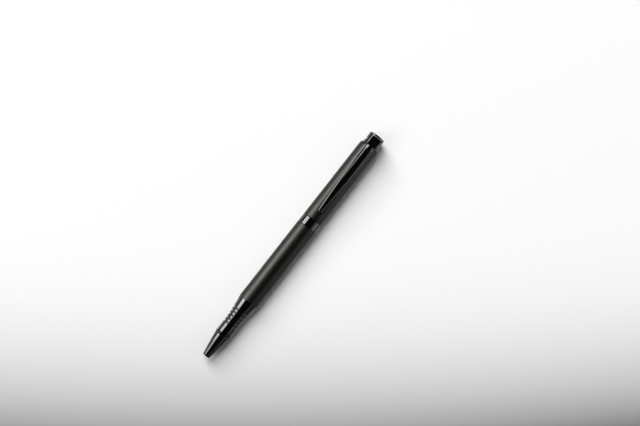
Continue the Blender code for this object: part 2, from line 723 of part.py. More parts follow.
def top_cap():
    """The slightly crowned cap, bored blind for the stud."""
    crown_start = PEN_LENGTH - CAP_CROWN
    edge_centre = (crown_start - CAP_EDGE_RADIUS, NECK_RADIUS - CAP_EDGE_RADIUS)
    rounded = arc(edge_centre, (CAP_EDGE_RADIUS, CAP_EDGE_RADIUS), 90, 0, 4)
    bore_end = CAP_FRONT + STUD_DEPTH_IN_CAP + SEAM
    cap = [
        (PEN_LENGTH, 0),
        (PEN_LENGTH, CAP_FLAT_RADIUS),
        *reversed(rounded),
        (CAP_FRONT + EDGE, NECK_RADIUS),
        (CAP_FRONT, NECK_RADIUS - EDGE),
        (CAP_FRONT, NECK_STUD_BORE),
        (bore_end, NECK_STUD_BORE),
        (bore_end, 0),
    ]
    turned("top_cap", "upper_body", cap, black_lacquer())


def refill():
    """The stepped refill tube, its point with the rolling ball, and its slotted end plug."""
    tip = REFILL_INSET
    neck_front = tip + POINT_LENGTH
    bore = REFILL_RADIUS - REFILL_WALL
    shoulder = SHOULDER_STATION
    cone = REFILL_RADIUS - REFILL_SHOULDER_RADIUS
    plug_front = REFILL_REAR - END_PLUG_LENGTH
    tube_profile = [
        (neck_front, REFILL_NECK_RADIUS - EDGE),
        (neck_front + EDGE, REFILL_NECK_RADIUS),
        (shoulder, REFILL_NECK_RADIUS),
        (shoulder, REFILL_SHOULDER_RADIUS),
        (shoulder + cone, REFILL_RADIUS),
        (plug_front, REFILL_RADIUS),
        (plug_front, bore),
        (shoulder + cone + REFILL_WALL, bore),
        (shoulder + REFILL_WALL, POINT_TAIL_RADIUS + FIT),
        (neck_front, POINT_TAIL_RADIUS + FIT),
    ]
    turned("refill_tube", "refill", tube_profile, steel(), INNER_SIDES)
    ball_centre = tip + BALL_RADIUS
    socket_radius = BALL_RADIUS + BALL_CLEARANCE
    socket = arc((ball_centre, 0), (socket_radius, socket_radius), 0, 120, 6)
    socket[0] = (socket[0][0], 0)
    rim = socket[-1]
    point = socket + [
        (rim[0], rim[1] + EDGE / 2),
        (tip + POINT_CONE_LENGTH, POINT_RADIUS),
        (neck_front - SEAM, POINT_RADIUS),
        (neck_front - SEAM, POINT_TAIL_RADIUS),
        (neck_front + POINT_TAIL_LENGTH, POINT_TAIL_RADIUS),
        (neck_front + POINT_TAIL_LENGTH, 0),
    ]
    turned("refill_point", "refill", point, brass(), SMALL_SIDES)
    ball = arc((ball_centre, 0), (BALL_RADIUS, BALL_RADIUS), 180, 0, 8)
    ball[0] = (ball[0][0], 0)
    ball[-1] = (ball[-1][0], 0)
    turned("point_ball", "ball", ball, steel(), SMALL_SIDES)
    plug = [
        (plug_front - END_PLUG_LENGTH, 0),
        (plug_front - END_PLUG_LENGTH, bore - FIT),
        (plug_front + SEAM, bore - FIT),
        (plug_front + SEAM, REFILL_RADIUS),
        (REFILL_REAR - EDGE, REFILL_RADIUS),
        (REFILL_REAR, REFILL_RADIUS - EDGE),
        (REFILL_REAR, 0),
    ]
    turned("refill_end_plug", "refill", plug, acetal(), INNER_SIDES)


def plunger():
    """The pusher behind the refill and the cross pin that runs in both pairs of slots."""
    front = REFILL_REAR + SEAM
    rear = PIN_STATION + PLUNGER_TAIL
    profile = [
        (front, 0),
        (front, REFILL_RADIUS - 2 * EDGE),
        (front + 2 * EDGE, REFILL_RADIUS),
        (rear - 2 * EDGE, REFILL_RADIUS),
        (rear, REFILL_RADIUS - 2 * EDGE),
        (rear, 0),
    ]
    pusher = turned("plunger", "refill", profile, acetal(), INNER_SIDES)
    drill = cross_drill(
        "plunger_cutter", "refill", PIN_STATION, PIN_RADIUS + FIT / 2, REFILL_RADIUS + EDGE
    )
    boolean(pusher, drill)
    pin = cross_drill("cross_pin", "refill", PIN_STATION, PIN_RADIUS, CAM_RADIUS)
    pin.data.materials.append(steel())


def along_taper(station):
    """0 up to where the clip starts to narrow, 1 at its tip."""
    taper_start = CLIP_REAR - CLIP_TAPER_START
    return min(max((taper_start - station) / (taper_start - CLIP_TIP), 0), 1)


def clip_half_width(station):
    """Full at the root, then a straight taper, rounded off over the last stretch at the tip."""
    change = CLIP_TIP_HALF_WIDTH - CLIP_ROOT_HALF_WIDTH
    straight = CLIP_ROOT_HALF_WIDTH + change * along_taper(station)
    to_tip = min((station - CLIP_TIP) / CLIP_TIP_HALF_WIDTH, 1)
    rounding = CLIP_TIP_HALF_WIDTH * (1 - math.sqrt(max(1 - (1 - to_tip) ** 2, 0)))
    return max(straight - rounding, CLIP_TIP_HALF_WIDTH / 3)


def clip_rise(station):
    """Of the underside: 0 where it lies round the cap and 1 above the barrel."""
    return 1 - smooth(station, CLIP_RISE_FRONT, CLIP_RISE_REAR)


def clip_crest(station):
    """Of the top: 0 on the bevelled root plate and 1 on the rounded blade."""
    return 1 - smooth(station, CLIP_CREST_FRONT, CLIP_CREST_REAR)


def blade_seat(station):
    """Height of the blade's slightly arched underside, which dips to its foot near the tip."""
    blade_root = UPPER_REAR - SHOULDER_LENGTH
    along = (blade_root - station) / (blade_root - CLIP_FOOT_STATION)
    arch = CLIP_ARCH * 4 * max(along, 0) * max(1 - along, 0)
    foot = 1 - smooth(abs(station - CLIP_FOOT_STATION), 0, CLIP_FOOT_LENGTH / 2)
    dip = (CLIP_BLADE_GAP - CLIP_FOOT_GAP) * foot
    return UPPER_BARREL_RADIUS + CLIP_BLADE_GAP + arch - dip


def facet_half_width(half):
    """Of the flat facet along the blade's rounded top."""
    return max(min(CLIP_FACET_HALF_WIDTH, half - CLIP_FACET_BORDER), CLIP_FACET_LEAST_SHARE * half)


def clip_section(station):
    """One cross-section: a bevelled plate, hollow underneath, or a rounded bar with a flat facet."""
    half = clip_half_width(station)
    facet = facet_half_width(half)
    rise = clip_rise(station)
    crest = clip_crest(station)
    seat = CLIP_ROOT_SEAT + (blade_seat(station) - CLIP_ROOT_SEAT) * rise
    hollow = [(seat - math.sqrt(seat**2 - y**2)) * (1 - rise) for y in (half / 2, half)]
    tilt_change = CLIP_FACET_TILT_TIP - CLIP_FACET_TILT_ROOT
    facet_tilt = CLIP_FACET_TILT_ROOT + tilt_change * along_taper(station)
    # The bar's tilt grows evenly from the facet's edge to the side
    curve = (half - facet) / (CLIP_SIDE_TILT - facet_tilt)
    side_top = blade_seat(station) + CLIP_SIDE_HEIGHT
    end_drop = max(station - CLIP_REAR + CLIP_END_BEVEL, 0)
    top = []
    for i in range(CLIP_ROUND_STEPS + 1):
        y = half + (facet - half) * i / CLIP_ROUND_STEPS
        tilt = CLIP_SIDE_TILT + (facet_tilt - CLIP_SIDE_TILT) * i / CLIP_ROUND_STEPS
        blade = side_top + curve * math.log(math.cos(tilt) / math.cos(CLIP_SIDE_TILT))
        into_bevel = max(1 - (half - y) / CLIP_BEVEL_WIDTH, 0)
        root = CLIP_ROOT_TOP - max(CLIP_BEVEL_HEIGHT * into_bevel, end_drop)
        top.append((y, root + (blade - root) * crest))
    right = [(half / 2, seat - hollow[0]), (half, seat - hollow[1]), *top]
    left = [(-y, z) for y, z in reversed(right)]
    return [(station, y, z) for y, z in [(0, seat), *right, *left]]


def clip():
    """The clip from its bevelled end over the cap to its rounded tip on the barrel."""
    foot_start = CLIP_FOOT_STATION + CLIP_FOOT_LENGTH / 2
    bends = [
        (CLIP_RISE_REAR, CLIP_CREST_REAR, 1),
        (CLIP_CREST_REAR, CLIP_CREST_FRONT, 3),
        (CLIP_CREST_FRONT, CLIP_RISE_FRONT, 2),
        (CLIP_RISE_FRONT, foot_start, 8),
        (foot_start, CLIP_TIP, 8),
    ]
    stations = [CLIP_REAR, CLIP_REAR - CLIP_END_BEVEL, CLIP_RISE_REAR]
    for start, end, steps in bends:
        stations += [start + (end - start) * i / steps for i in range(1, steps + 1)]
    sections = [clip_section(station) for station in stations]
    lofted("clip", "clip", sections, CLIP_PIVOT_STATION, black_lacquer())


clear_scene()
body_empty("lower_body", LOWER_FRONT)
body_empty("front_section", 0.0, parent="lower_body")
body_empty("upper_body", UPPER_FRONT, parent="lower_body")
body_empty("refill", REFILL_INSET, parent="lower_body")
body_empty("ball", REFILL_INSET + BALL_RADIUS, parent="refill")
body_empty("clip", CLIP_PIVOT_STATION, CLIP_PIVOT_HEIGHT, parent="upper_body")
nose_cone()
nose_ring()
grip_section()
return_spring()
lower_barrel()
centre_ring()
mechanism_bush()
o_ring()
guide_tube()
retaining_ring()
cam_tube()
upper_barrel()
top_assembly()
refill()
plunger()
clip()
print(f"pen length {PEN_LENGTH / MM:.2f} mm, axis {AXIS_HEIGHT / MM:.3f} mm above the surface")
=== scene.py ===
import json
import math

import bmesh
import bpy
from mathutils import Matrix, Vector


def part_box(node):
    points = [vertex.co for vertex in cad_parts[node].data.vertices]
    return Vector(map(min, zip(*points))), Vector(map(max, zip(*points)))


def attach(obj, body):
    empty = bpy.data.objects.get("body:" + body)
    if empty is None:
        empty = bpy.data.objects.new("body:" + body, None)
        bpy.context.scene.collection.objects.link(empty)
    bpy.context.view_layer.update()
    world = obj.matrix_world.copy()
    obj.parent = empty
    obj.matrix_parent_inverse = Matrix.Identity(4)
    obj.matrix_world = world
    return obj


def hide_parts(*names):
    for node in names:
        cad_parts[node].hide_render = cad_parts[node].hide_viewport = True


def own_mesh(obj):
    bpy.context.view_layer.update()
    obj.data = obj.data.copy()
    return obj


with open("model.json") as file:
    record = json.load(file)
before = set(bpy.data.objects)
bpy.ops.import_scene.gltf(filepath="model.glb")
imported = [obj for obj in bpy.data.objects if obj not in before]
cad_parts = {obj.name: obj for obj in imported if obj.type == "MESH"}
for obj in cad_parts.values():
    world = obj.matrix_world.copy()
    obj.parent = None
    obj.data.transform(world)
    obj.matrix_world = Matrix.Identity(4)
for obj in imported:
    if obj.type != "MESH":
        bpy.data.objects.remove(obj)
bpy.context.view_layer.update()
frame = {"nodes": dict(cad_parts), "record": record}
mm = 0.001

# Stations run along the pen from the nose face towards the cap, in mm, and radii are taken from its axis
noseLow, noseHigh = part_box("nose_cone")
penPlace = {"noseX": noseLow.x, "axisHeight": (noseLow.z + noseHigh.z) / 2}


# Camera

cameraSetup = {
    "target": (20.907, -0.879, 5.36),  # mm
    "distance": 530.0,  # mm
    "tiltAlong": -3.0,  # degrees, less than zero towards the nose
    "tiltAcross": 3.4,  # degrees, towards the pen's far side
    "roll": 51.814,  # degrees
    "lens": 60.506,  # mm
    "sensorWidth": 36,  # mm
    "clipStart": 0.01,  # m
}


def placeCamera(setup):
    along, across = math.radians(setup["tiltAlong"]), math.radians(setup["tiltAcross"])
    back = Vector((math.sin(along), math.sin(across), 0))
    back.z = math.sqrt(1 - back.length_squared)
    levelRight = Vector((0, 1, 0)).cross(back).normalized()
    levelUp = back.cross(levelRight)
    roll = math.radians(setup["roll"])
    right = math.cos(roll) * levelRight - math.sin(roll) * levelUp
    up = math.sin(roll) * levelRight + math.cos(roll) * levelUp
    camera = bpy.data.objects.new("photoCamera", bpy.data.cameras.new("photoCamera"))
    camera.data.sensor_width = setup["sensorWidth"]
    camera.data.lens = setup["lens"]
    camera.data.clip_start = setup["clipStart"]
    turned = Matrix((right, up, back)).transposed().to_4x4()
    place = (Vector(setup["target"]) + setup["distance"] * back) * mm
    camera.matrix_world = Matrix.Translation(place) @ turned
    bpy.context.scene.collection.objects.link(camera)
    bpy.context.scene.camera = camera
    print("camera placed")


# Floor, backdrop and lights

floorSetup = {
    # near is the floor's own colour, and low is the painted shade that its colour darkens to towards the
    # picture's lower edge
    "near": (0.985, 0.985, 0.985),
    "low": (0.236, 0.236, 0.238),  # where the photograph's floor darkens, past the pen's nose
    "darkens": (0.0, 0.117),  # m from the picture's middle towards its lower edge
    "darkensPower": 3.0,
    "brightest": (-0.01, 1.7),  # m right of and above the picture's middle
    "roughness": 0.6,
    "specular": 0.2,
    "halfWidth": 4.0,  # m
    "squares": 8,
    "turnsPlain": (0.22, 0.34),  # m from the pen's middle
    "dimsInGloss": (0.02, 0.05),  # m on either side of a line along the pen
    "glossLine": 0.01,  # m from that line to the pen's middle
    "farWhite": 1.0,
    "farGloss": 0.45,
}

# Flat soft boxes beside the pen. Each stands at a distance (m) on one side of it, reaches from a low to
# a high angle (degrees) as the pen sees it, and runs along the pen by its width and shift (m). The ones
# that show only make the reflections, and the three fills only light surfaces and cast the shadow.
softBoxes = {
    "stripeSoftBox": {
        "side": 1, "low": 13, "high": 49, "distance": 0.7,
        "width": 0.56, "shift": -0.04, "glow": 12.4, "shows": True,
    },
    "noseSoftBox": {
        "side": 1, "low": 13, "high": 49, "distance": 0.7,
        "width": 0.22, "shift": -0.43, "glow": 7.0, "shows": True,
    },
    "overheadFill": {
        "side": 1, "low": 24, "high": 77, "distance": 3.0,
        "width": 1.9, "shift": 1.15, "glow": 7.5, "shows": False,
    },
    "noseFill": {
        "side": 1, "low": 45, "high": 70, "distance": 3.0,
        "width": 2.8, "shift": -2.2, "glow": 2.6, "shows": False,
    },
    "sideFill": {
        "side": -1, "low": 20, "high": 85, "distance": 1.2,
        "width": 2.1, "shift": 0.0, "glow": 0.23, "shows": False,
    },
    "faintSoftBox": {
        "side": -1, "low": 20, "high": 50, "distance": 0.6,
        "width": 1.6, "shift": 0.0, "glow": 0.5, "shows": True,
    },
    "middleSoftBox": {
        "side": -1, "low": 12, "high": 50, "distance": 0.6,
        "width": 0.78, "shift": 0.23, "glow": 0.5, "shows": True,
    },
    "capSoftBox": {
        "side": -1, "low": 2, "high": 26, "distance": 0.6,
        "width": 0.6, "shift": 0.31, "glow": 1.8, "shows": True,
    },
}

roomSetup = {"dim": 0.02, "white": 1.0}


def addSoftBox(name, setup):
    # The box's face runs from its low to its high angle, as the pen sees it, square to their middle
    middle = math.radians((setup["low"] + setup["high"]) / 2)
    halfAngle = math.radians((setup["high"] - setup["low"]) / 2)
    towards = Vector((0, setup["side"] * math.cos(middle), math.sin(middle)))
    distance = setup["distance"]
    lamp = bpy.data.lights.new(name, "AREA")
    lamp.shape = "RECTANGLE"
    lamp.size = setup["width"]
    lamp.size_y = 2 * distance * math.tan(halfAngle)
    lamp.energy = setup["glow"] * math.pi * lamp.size * lamp.size_y
    holder = bpy.data.objects.new(name, lamp)
    across = Vector((1, 0, 0))
    turned = Matrix((across, towards.cross(across), towards)).transposed().to_4x4()
    holder.matrix_world = Matrix.Translation(distance * towards + Vector((setup["shift"], 0, 0))) @ turned
    holder.visible_camera = False
    holder.visible_glossy = setup["shows"]
    holder.visible_diffuse = not setup["shows"]
    bpy.context.scene.collection.objects.link(holder)


def mathNode(tree, operation, first, second):
    node = tree.nodes.new("ShaderNodeMath")
    node.operation = operation
    for socket, value in zip(node.inputs, (first, second)):
        if isinstance(value, (int, float)):
            socket.default_value = value
        else:
            tree.links.new(value, socket)
    return node.outputs[0]


def mapNode(tree, value, fromMin, fromMax, toMin=0, toMax=1, curve="LINEAR"):
    node = tree.nodes.new("ShaderNodeMapRange")
    node.clamp = True
    node.interpolation_type = curve
    ends = {"From Min": fromMin, "From Max": fromMax, "To Min": toMin, "To Max": toMax}
    for label, number in ends.items():
        node.inputs[label].default_value = number
    tree.links.new(value, node.inputs["Value"])
    return node.outputs["Result"]


def mixColours(tree, share, first, second):
    node = tree.nodes.new("ShaderNodeMix")
    node.data_type = "RGBA"  # whose colours go in at 6 and 7 and come out at 2
    tree.links.new(share, node.inputs["Factor"])
    node.inputs[6].default_value = (*first, 1)
    node.inputs[7].default_value = (*second, 1)
    return node.outputs[2]


def measureNode(tree, operation, place, vector):
    node = tree.nodes.new("ShaderNodeVectorMath")
    node.operation = operation
    tree.links.new(place, node.inputs[0])
    node.inputs[1].default_value = vector
    return node.outputs["Value"]


def makeFloor(setup, camera):
    bm = bmesh.new()
    squares = setup["squares"]
    bmesh.ops.create_grid(bm, x_segments=squares, y_segments=squares, size=setup["halfWidth"])
    data = bpy.data.meshes.new("paleFloor")
    bm.to_mesh(data)
    bm.free()
    floor = bpy.data.objects.new("paleFloor", data)
    bpy.context.scene.collection.objects.link(floor)
    paint = bpy.data.materials.new("paleFloor")
    paint.use_nodes = True
    tree = paint.node_tree
    nodes, links = tree.nodes, tree.links
    shader = nodes["Principled BSDF"]
    shader.inputs["Roughness"].default_value = setup["roughness"]
    shader.inputs["Specular IOR Level"].default_value = setup["specular"]
    place = nodes.new("ShaderNodeTexCoord").outputs["Object"]

    # Painted shade: the floor's colour darkens towards the picture's lower edge, by the distance from a
    # point far above the picture, in place of the light falling off there
    angle = math.radians(camera["roll"])
    right = Vector((math.cos(angle), -math.sin(angle), 0))
    up = Vector((math.sin(angle), math.cos(angle), 0))
    beside, above = setup["brightest"]
    brightest = Vector((*camera["target"][:2], 0)) * mm + beside * right + above * up
    start, end = (above + lower for lower in setup["darkens"])
    reach = mapNode(tree, measureNode(tree, "DISTANCE", place, brightest), start, end)
    paintedShade = mathNode(tree, "POWER", reach, setup["darkensPower"])
    links.new(mixColours(tree, paintedShade, setup["near"], setup["low"]), shader.inputs["Base Color"])

    # Plain and shadowless far away, white for the camera and grey in reflections
    outward = measureNode(tree, "DISTANCE", place, (0, 0, 0))
    far = mapNode(tree, outward, *setup["turnsPlain"], curve="SMOOTHSTEP")
    across = measureNode(tree, "DOT_PRODUCT", place, (0, 1, 0))
    aside = mathNode(tree, "ABSOLUTE", mathNode(tree, "SUBTRACT", across, setup["glossLine"]), 0)
    off = mapNode(tree, aside, *setup["dimsInGloss"], curve="SMOOTHSTEP")
    dimmed = mathNode(tree, "MAXIMUM", far, off)
    path = nodes.new("ShaderNodeLightPath")
    seen, glossy, through = (path.outputs[f"Is {kind} Ray"] for kind in ("Camera", "Glossy", "Transmission"))
    mirrored = mathNode(tree, "MAXIMUM", glossy, through)
    seenPlain = mathNode(tree, "MULTIPLY", far, seen)
    mirroredPlain = mathNode(tree, "MULTIPLY", dimmed, mirrored)
    plainness = mathNode(tree, "MAXIMUM", seenPlain, mirroredPlain)
    plain = nodes.new("ShaderNodeEmission")
    glow = mapNode(tree, seen, 0, 1, setup["farGloss"], setup["farWhite"])
    links.new(glow, plain.inputs["Strength"])
    mixed = nodes.new("ShaderNodeMixShader")
    links.new(plainness, mixed.inputs["Fac"])
    links.new(shader.outputs["BSDF"], mixed.inputs[1])
    links.new(plain.outputs["Emission"], mixed.inputs[2])
    links.new(mixed.outputs["Shader"], nodes["Material Output"].inputs["Surface"])
    data.materials.append(paint)


def makeRoom(setup):
    # Dim for the light on the pen and for reflections, white where the camera looks past the floor
    room = bpy.data.worlds.new("dimRoom")
    room.use_nodes = True
    tree = room.node_tree
    dim = tree.nodes["Background"]
    dim.inputs["Color"].default_value = (1, 1, 1, 1)
    dim.inputs["Strength"].default_value = setup["dim"]
    white = tree.nodes.new("ShaderNodeBackground")
    white.inputs["Color"].default_value = (1, 1, 1, 1)
    white.inputs["Strength"].default_value = setup["white"]
    path = tree.nodes.new("ShaderNodeLightPath")
    mixed = tree.nodes.new("ShaderNodeMixShader")
    tree.links.new(path.outputs["Is Camera Ray"], mixed.inputs["Fac"])
    tree.links.new(dim.outputs["Background"], mixed.inputs[1])
    tree.links.new(white.outputs["Background"], mixed.inputs[2])
    tree.links.new(mixed.outputs["Shader"], tree.nodes["World Output"].inputs["Surface"])
    bpy.context.scene.world = room


placeCamera(cameraSetup)
makeFloor(floorSetup, cameraSetup)
makeRoom(roomSetup)
for boxName, boxSetup in softBoxes.items():
    addSoftBox(boxName, boxSetup)
bpy.context.scene.view_settings.view_transform = "Standard"
print("floor, room and lights made")


# Effects that several finishes share

def newEffect(name, inputs, outputs):
    effect = bpy.data.node_groups.new(name, "ShaderNodeTree")
    for label, value in inputs:
        kind = "NodeSocketVector" if value is None else "NodeSocketFloat"
        made = effect.interface.new_socket(name=label, in_out="INPUT", socket_type=kind)
        if value is not None:
            made.default_value = value
    for label in outputs:
        effect.interface.new_socket(name=label, in_out="OUTPUT", socket_type="NodeSocketFloat")
    return effect, effect.nodes.new("NodeGroupInput"), effect.nodes.new("NodeGroupOutput")


def noiseNode(tree, coordinates, scale, detail=2.0, roughness=0.5):
    node = tree.nodes.new("ShaderNodeTexNoise")
    node.inputs["Detail"].default_value = detail
    node.inputs["Roughness"].default_value = roughness
    tree.links.new(coordinates, node.inputs["Vector"])
    if isinstance(scale, (int, float)):
        node.inputs["Scale"].default_value = scale
    else:
        tree.links.new(scale, node.inputs["Scale"])
    return node.outputs["Fac"]


def stretched(tree, coordinates, stretch):
    node = tree.nodes.new("ShaderNodeMapping")
    node.inputs["Scale"].default_value = stretch
    tree.links.new(coordinates, node.inputs["Vector"])
    return node.outputs["Vector"]


handlingMarksSetup = {
    "smudgeSize": 260.0, "smudgeDetail": 4.0, "smudgeRoughness": 0.62, "smudgeShows": (0.4, 0.68),
    "scratchSize": 900.0, "scratchDetail": 3.0, "scratchRoughness": 0.7, "scratchShows": (0.64, 0.72),
    "scratchLean": 0.1,
    "scratchWays": ((0.5, (1.0, 0.05, 0.05)), (-0.35, (0.06, 1.0, 1.0))),  # turn, then stretch
}


def handlingMarksEffect(setup):
    # Faint smudges and hairline scratches, as on anything carried in a pocket
    sizes = [("Smudge Size", setup["smudgeSize"]), ("Scratch Size", setup["scratchSize"])]
    effect, given, result = newEffect(
        "handlingMarks", [("Coordinates", None), *sizes], ["Smudge", "Scratch"],
    )
    place, smudgeSize, scratchSize = given.outputs[:3]
    smudge = noiseNode(effect, place, smudgeSize, setup["smudgeDetail"], setup["smudgeRoughness"])
    effect.links.new(mapNode(effect, smudge, *setup["smudgeShows"]), result.inputs["Smudge"])
    scratches = []
    for turn, stretch in setup["scratchWays"]:
        slanted = effect.nodes.new("ShaderNodeMapping")
        slanted.inputs["Rotation"].default_value = (0, setup["scratchLean"], turn)
        effect.links.new(place, slanted.inputs["Vector"])
        drawnOut = stretched(effect, slanted.outputs["Vector"], stretch)
        fine = noiseNode(
            effect, drawnOut, scratchSize, setup["scratchDetail"], setup["scratchRoughness"],
        )
        scratches.append(mapNode(effect, fine, *setup["scratchShows"]))
    effect.links.new(mathNode(effect, "MAXIMUM", *scratches), result.inputs["Scratch"])
    return effect


sprayGrainSetup = {
    "size": 9000.0, "detail": 3.0, "roughness": 0.6, "grainShows": (0.3, 0.7), "flakeShows": (0.8, 1.0),
}


def sprayGrainEffect(setup):
    # The fine grain of a satin metallic lacquer or a moulded matt surface, with single bright flakes
    effect, given, result = newEffect(
        "sprayGrain", [("Coordinates", None), ("Grain Size", setup["size"])], ["Grain", "Flake"],
    )
    place, size = given.outputs[:2]
    grain = noiseNode(effect, place, size, setup["detail"], setup["roughness"])
    effect.links.new(mapNode(effect, grain, *setup["grainShows"]), result.inputs["Grain"])
    cells = effect.nodes.new("ShaderNodeTexVoronoi")
    effect.links.new(place, cells.inputs["Vector"])
    effect.links.new(size, cells.inputs["Scale"])
    split = effect.nodes.new("ShaderNodeSeparateColor")
    effect.links.new(cells.outputs["Color"], split.inputs["Color"])
    flake = mapNode(effect, split.outputs["Red"], *setup["flakeShows"])
    effect.links.new(flake, result.inputs["Flake"])
    return effect


latheLinesSetup = {
    "size": 7000.0, "detail": 3.0, "roughness": 0.7, "stretch": (1.0, 0.012, 0.012), "shows": (0.3, 0.7),
}


def latheLinesEffect(setup):
    # Fine rings that a lathe leaves round a turned piece, whose axis is X
    effect, given, result = newEffect(
        "latheLines", [("Coordinates", None), ("Line Size", setup["size"])], ["Lines"],
    )
    ringed = stretched(effect, given.outputs["Coordinates"], setup["stretch"])
    lines = noiseNode(effect, ringed, given.outputs["Line Size"], setup["detail"], setup["roughness"])
    effect.links.new(mapNode(effect, lines, *setup["shows"]), result.inputs["Lines"])
    return effect


sharedEffects = {
    "handlingMarks": handlingMarksEffect(handlingMarksSetup),
    "sprayGrain": sprayGrainEffect(sprayGrainSetup),
    "latheLines": latheLinesEffect(latheLinesSetup),
}
print("shared effects made:", ", ".join(sharedEffects))


# Finishes

def newFinish(name, constants):
    finish = bpy.data.materials.new(name)
    finish.use_nodes = True
    shader = finish.node_tree.nodes["Principled BSDF"]
    for label, value in constants.items():
        shader.inputs[label].default_value = (*value, 1) if isinstance(value, tuple) else value
    place = finish.node_tree.nodes.new("ShaderNodeTexCoord")
    return finish, finish.node_tree, shader, place.outputs["Object"]


def useEffect(tree, name, coordinates, **sizes):
    node = tree.nodes.new("ShaderNodeGroup")
    node.node_tree = sharedEffects[name]
    tree.links.new(coordinates, node.inputs["Coordinates"])
    for label, value in sizes.items():
        node.inputs[label.replace("_", " ")].default_value = value
    return node.outputs


def addRelief(tree, shader, height, depth):
    bump = tree.nodes.new("ShaderNodeBump")
    bump.inputs["Strength"].default_value = 1.0
    bump.inputs["Distance"].default_value = depth
    tree.links.new(height, bump.inputs["Height"])
    tree.links.new(bump.outputs["Normal"], shader.inputs["Normal"])


def addColour(tree, shader, share, first, second):
    tree.links.new(mixColours(tree, share, first, second), shader.inputs["Base Color"])


def addRoughness(tree, shader, share, ends):
    tree.links.new(mapNode(tree, share, 0, 1, *ends), shader.inputs["Roughness"])


lacquerLook = {
    "deep": (0.0009, 0.0009, 0.0007),
    "smudged": (0.002, 0.002, 0.0018),
    "roughness": (0.045, 0.1),
    "scratchRoughness": 0.05,
    "peelSize": 900.0,
    "peelDepth": 0.0000004,  # m
    "scratchDepth": 0.25,  # beside the peel's depth
}


def blackLacquerFinish(look):
    finish, tree, shader, place = newFinish("blackLacquer", {"Metallic": 0.0, "IOR": 1.5})
    marks = useEffect(tree, "handlingMarks", place)
    addColour(tree, shader, marks["Smudge"], look["deep"], look["smudged"])
    gloss = mapNode(tree, marks["Smudge"], 0, 1, *look["roughness"])
    scratched = mathNode(tree, "MULTIPLY", marks["Scratch"], look["scratchRoughness"])
    tree.links.new(mathNode(tree, "ADD", gloss, scratched), shader.inputs["Roughness"])
    peel = noiseNode(tree, place, look["peelSize"])
    scratchDepth = mathNode(tree, "MULTIPLY", marks["Scratch"], look["scratchDepth"])
    addRelief(tree, shader, mathNode(tree, "SUBTRACT", peel, scratchDepth), look["peelDepth"])
    return finish


gunmetalLook = {
    "dark": (0.0222, 0.0223, 0.0202),
    "light": (0.0325, 0.0326, 0.0296),
    "roughness": (0.4, 0.45),
    "smudgeSize": 190.0,
    "grainSize": 7000.0,
    "grainDepth": 0.000001,  # m
    "flakeShare": 0.4,
}


def satinGunmetalFinish(look):
    finish, tree, shader, place = newFinish("satinGunmetal", {"Metallic": 1.0})
    grain = useEffect(tree, "sprayGrain", place, Grain_Size=look["grainSize"])
    marks = useEffect(tree, "handlingMarks", place, Smudge_Size=look["smudgeSize"])
    grainShade = mathNode(tree, "MULTIPLY", grain["Grain"], 1 - look["flakeShare"])
    flakeShade = mathNode(tree, "MULTIPLY", grain["Flake"], look["flakeShare"])
    shade = mathNode(tree, "ADD", grainShade, flakeShade)
    addColour(tree, shader, shade, look["dark"], look["light"])
    addRoughness(tree, shader, marks["Smudge"], look["roughness"])
    addRelief(tree, shader, grain["Grain"], look["grainDepth"])
    return finish


brassLook = {
    "bright": (0.76, 0.55, 0.25),
    "tarnished": (0.55, 0.36, 0.15),
    "roughness": (0.2, 0.34),
    "smudgeSize": 420.0,
    "lineDepth": 0.000002,  # m
}


def turnedBrassFinish(look):
    finish, tree, shader, place = newFinish("turnedBrass", {"Metallic": 1.0})
    lines = useEffect(tree, "latheLines", place)
    marks = useEffect(tree, "handlingMarks", place, Smudge_Size=look["smudgeSize"])
    addColour(tree, shader, marks["Smudge"], look["bright"], look["tarnished"])
    addRoughness(tree, shader, lines["Lines"], look["roughness"])
    addRelief(tree, shader, lines["Lines"], look["lineDepth"])
    return finish


steelLook = {
    "bright": (0.62, 0.62, 0.63),
    "dull": (0.5, 0.5, 0.5),
    "roughness": (0.18, 0.32),
    "lineSize": 5000.0,
    "lineDepth": 0.0000015,  # m
}


def plainSteelFinish(look):
    finish, tree, shader, place = newFinish("plainSteel", {"Metallic": 1.0})
    lines = useEffect(tree, "latheLines", place, Line_Size=look["lineSize"])
    marks = useEffect(tree, "handlingMarks", place)
    addColour(tree, shader, marks["Smudge"], look["bright"], look["dull"])
    addRoughness(tree, shader, lines["Lines"], look["roughness"])
    addRelief(tree, shader, lines["Lines"], look["lineDepth"])
    return finish


acetalLook = {
    "pale": (0.78, 0.77, 0.73),
    "worn": (0.7, 0.69, 0.64),
    "roughness": (0.38, 0.5),
    "grainSize": 5000.0,
    "grainDepth": 0.000003,  # m
}


def mouldedAcetalFinish(look):
    finish, tree, shader, place = newFinish("mouldedAcetal", {"Metallic": 0.0})
    grain = useEffect(tree, "sprayGrain", place, Grain_Size=look["grainSize"])
    marks = useEffect(tree, "handlingMarks", place)
    addColour(tree, shader, marks["Smudge"], look["pale"], look["worn"])
    addRoughness(tree, shader, grain["Grain"], look["roughness"])
    addRelief(tree, shader, grain["Grain"], look["grainDepth"])
    return finish


rubberLook = {
    "dark": (0.022, 0.022, 0.022),
    "dusty": (0.05, 0.05, 0.048),
    "roughness": (0.6, 0.75),
    "grainSize": 6000.0,
    "grainDepth": 0.000004,  # m
}


def softRubberFinish(look):
    finish, tree, shader, place = newFinish("softRubber", {"Metallic": 0.0})
    grain = useEffect(tree, "sprayGrain", place, Grain_Size=look["grainSize"])
    addColour(tree, shader, grain["Grain"], look["dark"], look["dusty"])
    addRoughness(tree, shader, grain["Grain"], look["roughness"])
    addRelief(tree, shader, grain["Grain"], look["grainDepth"])
    return finish


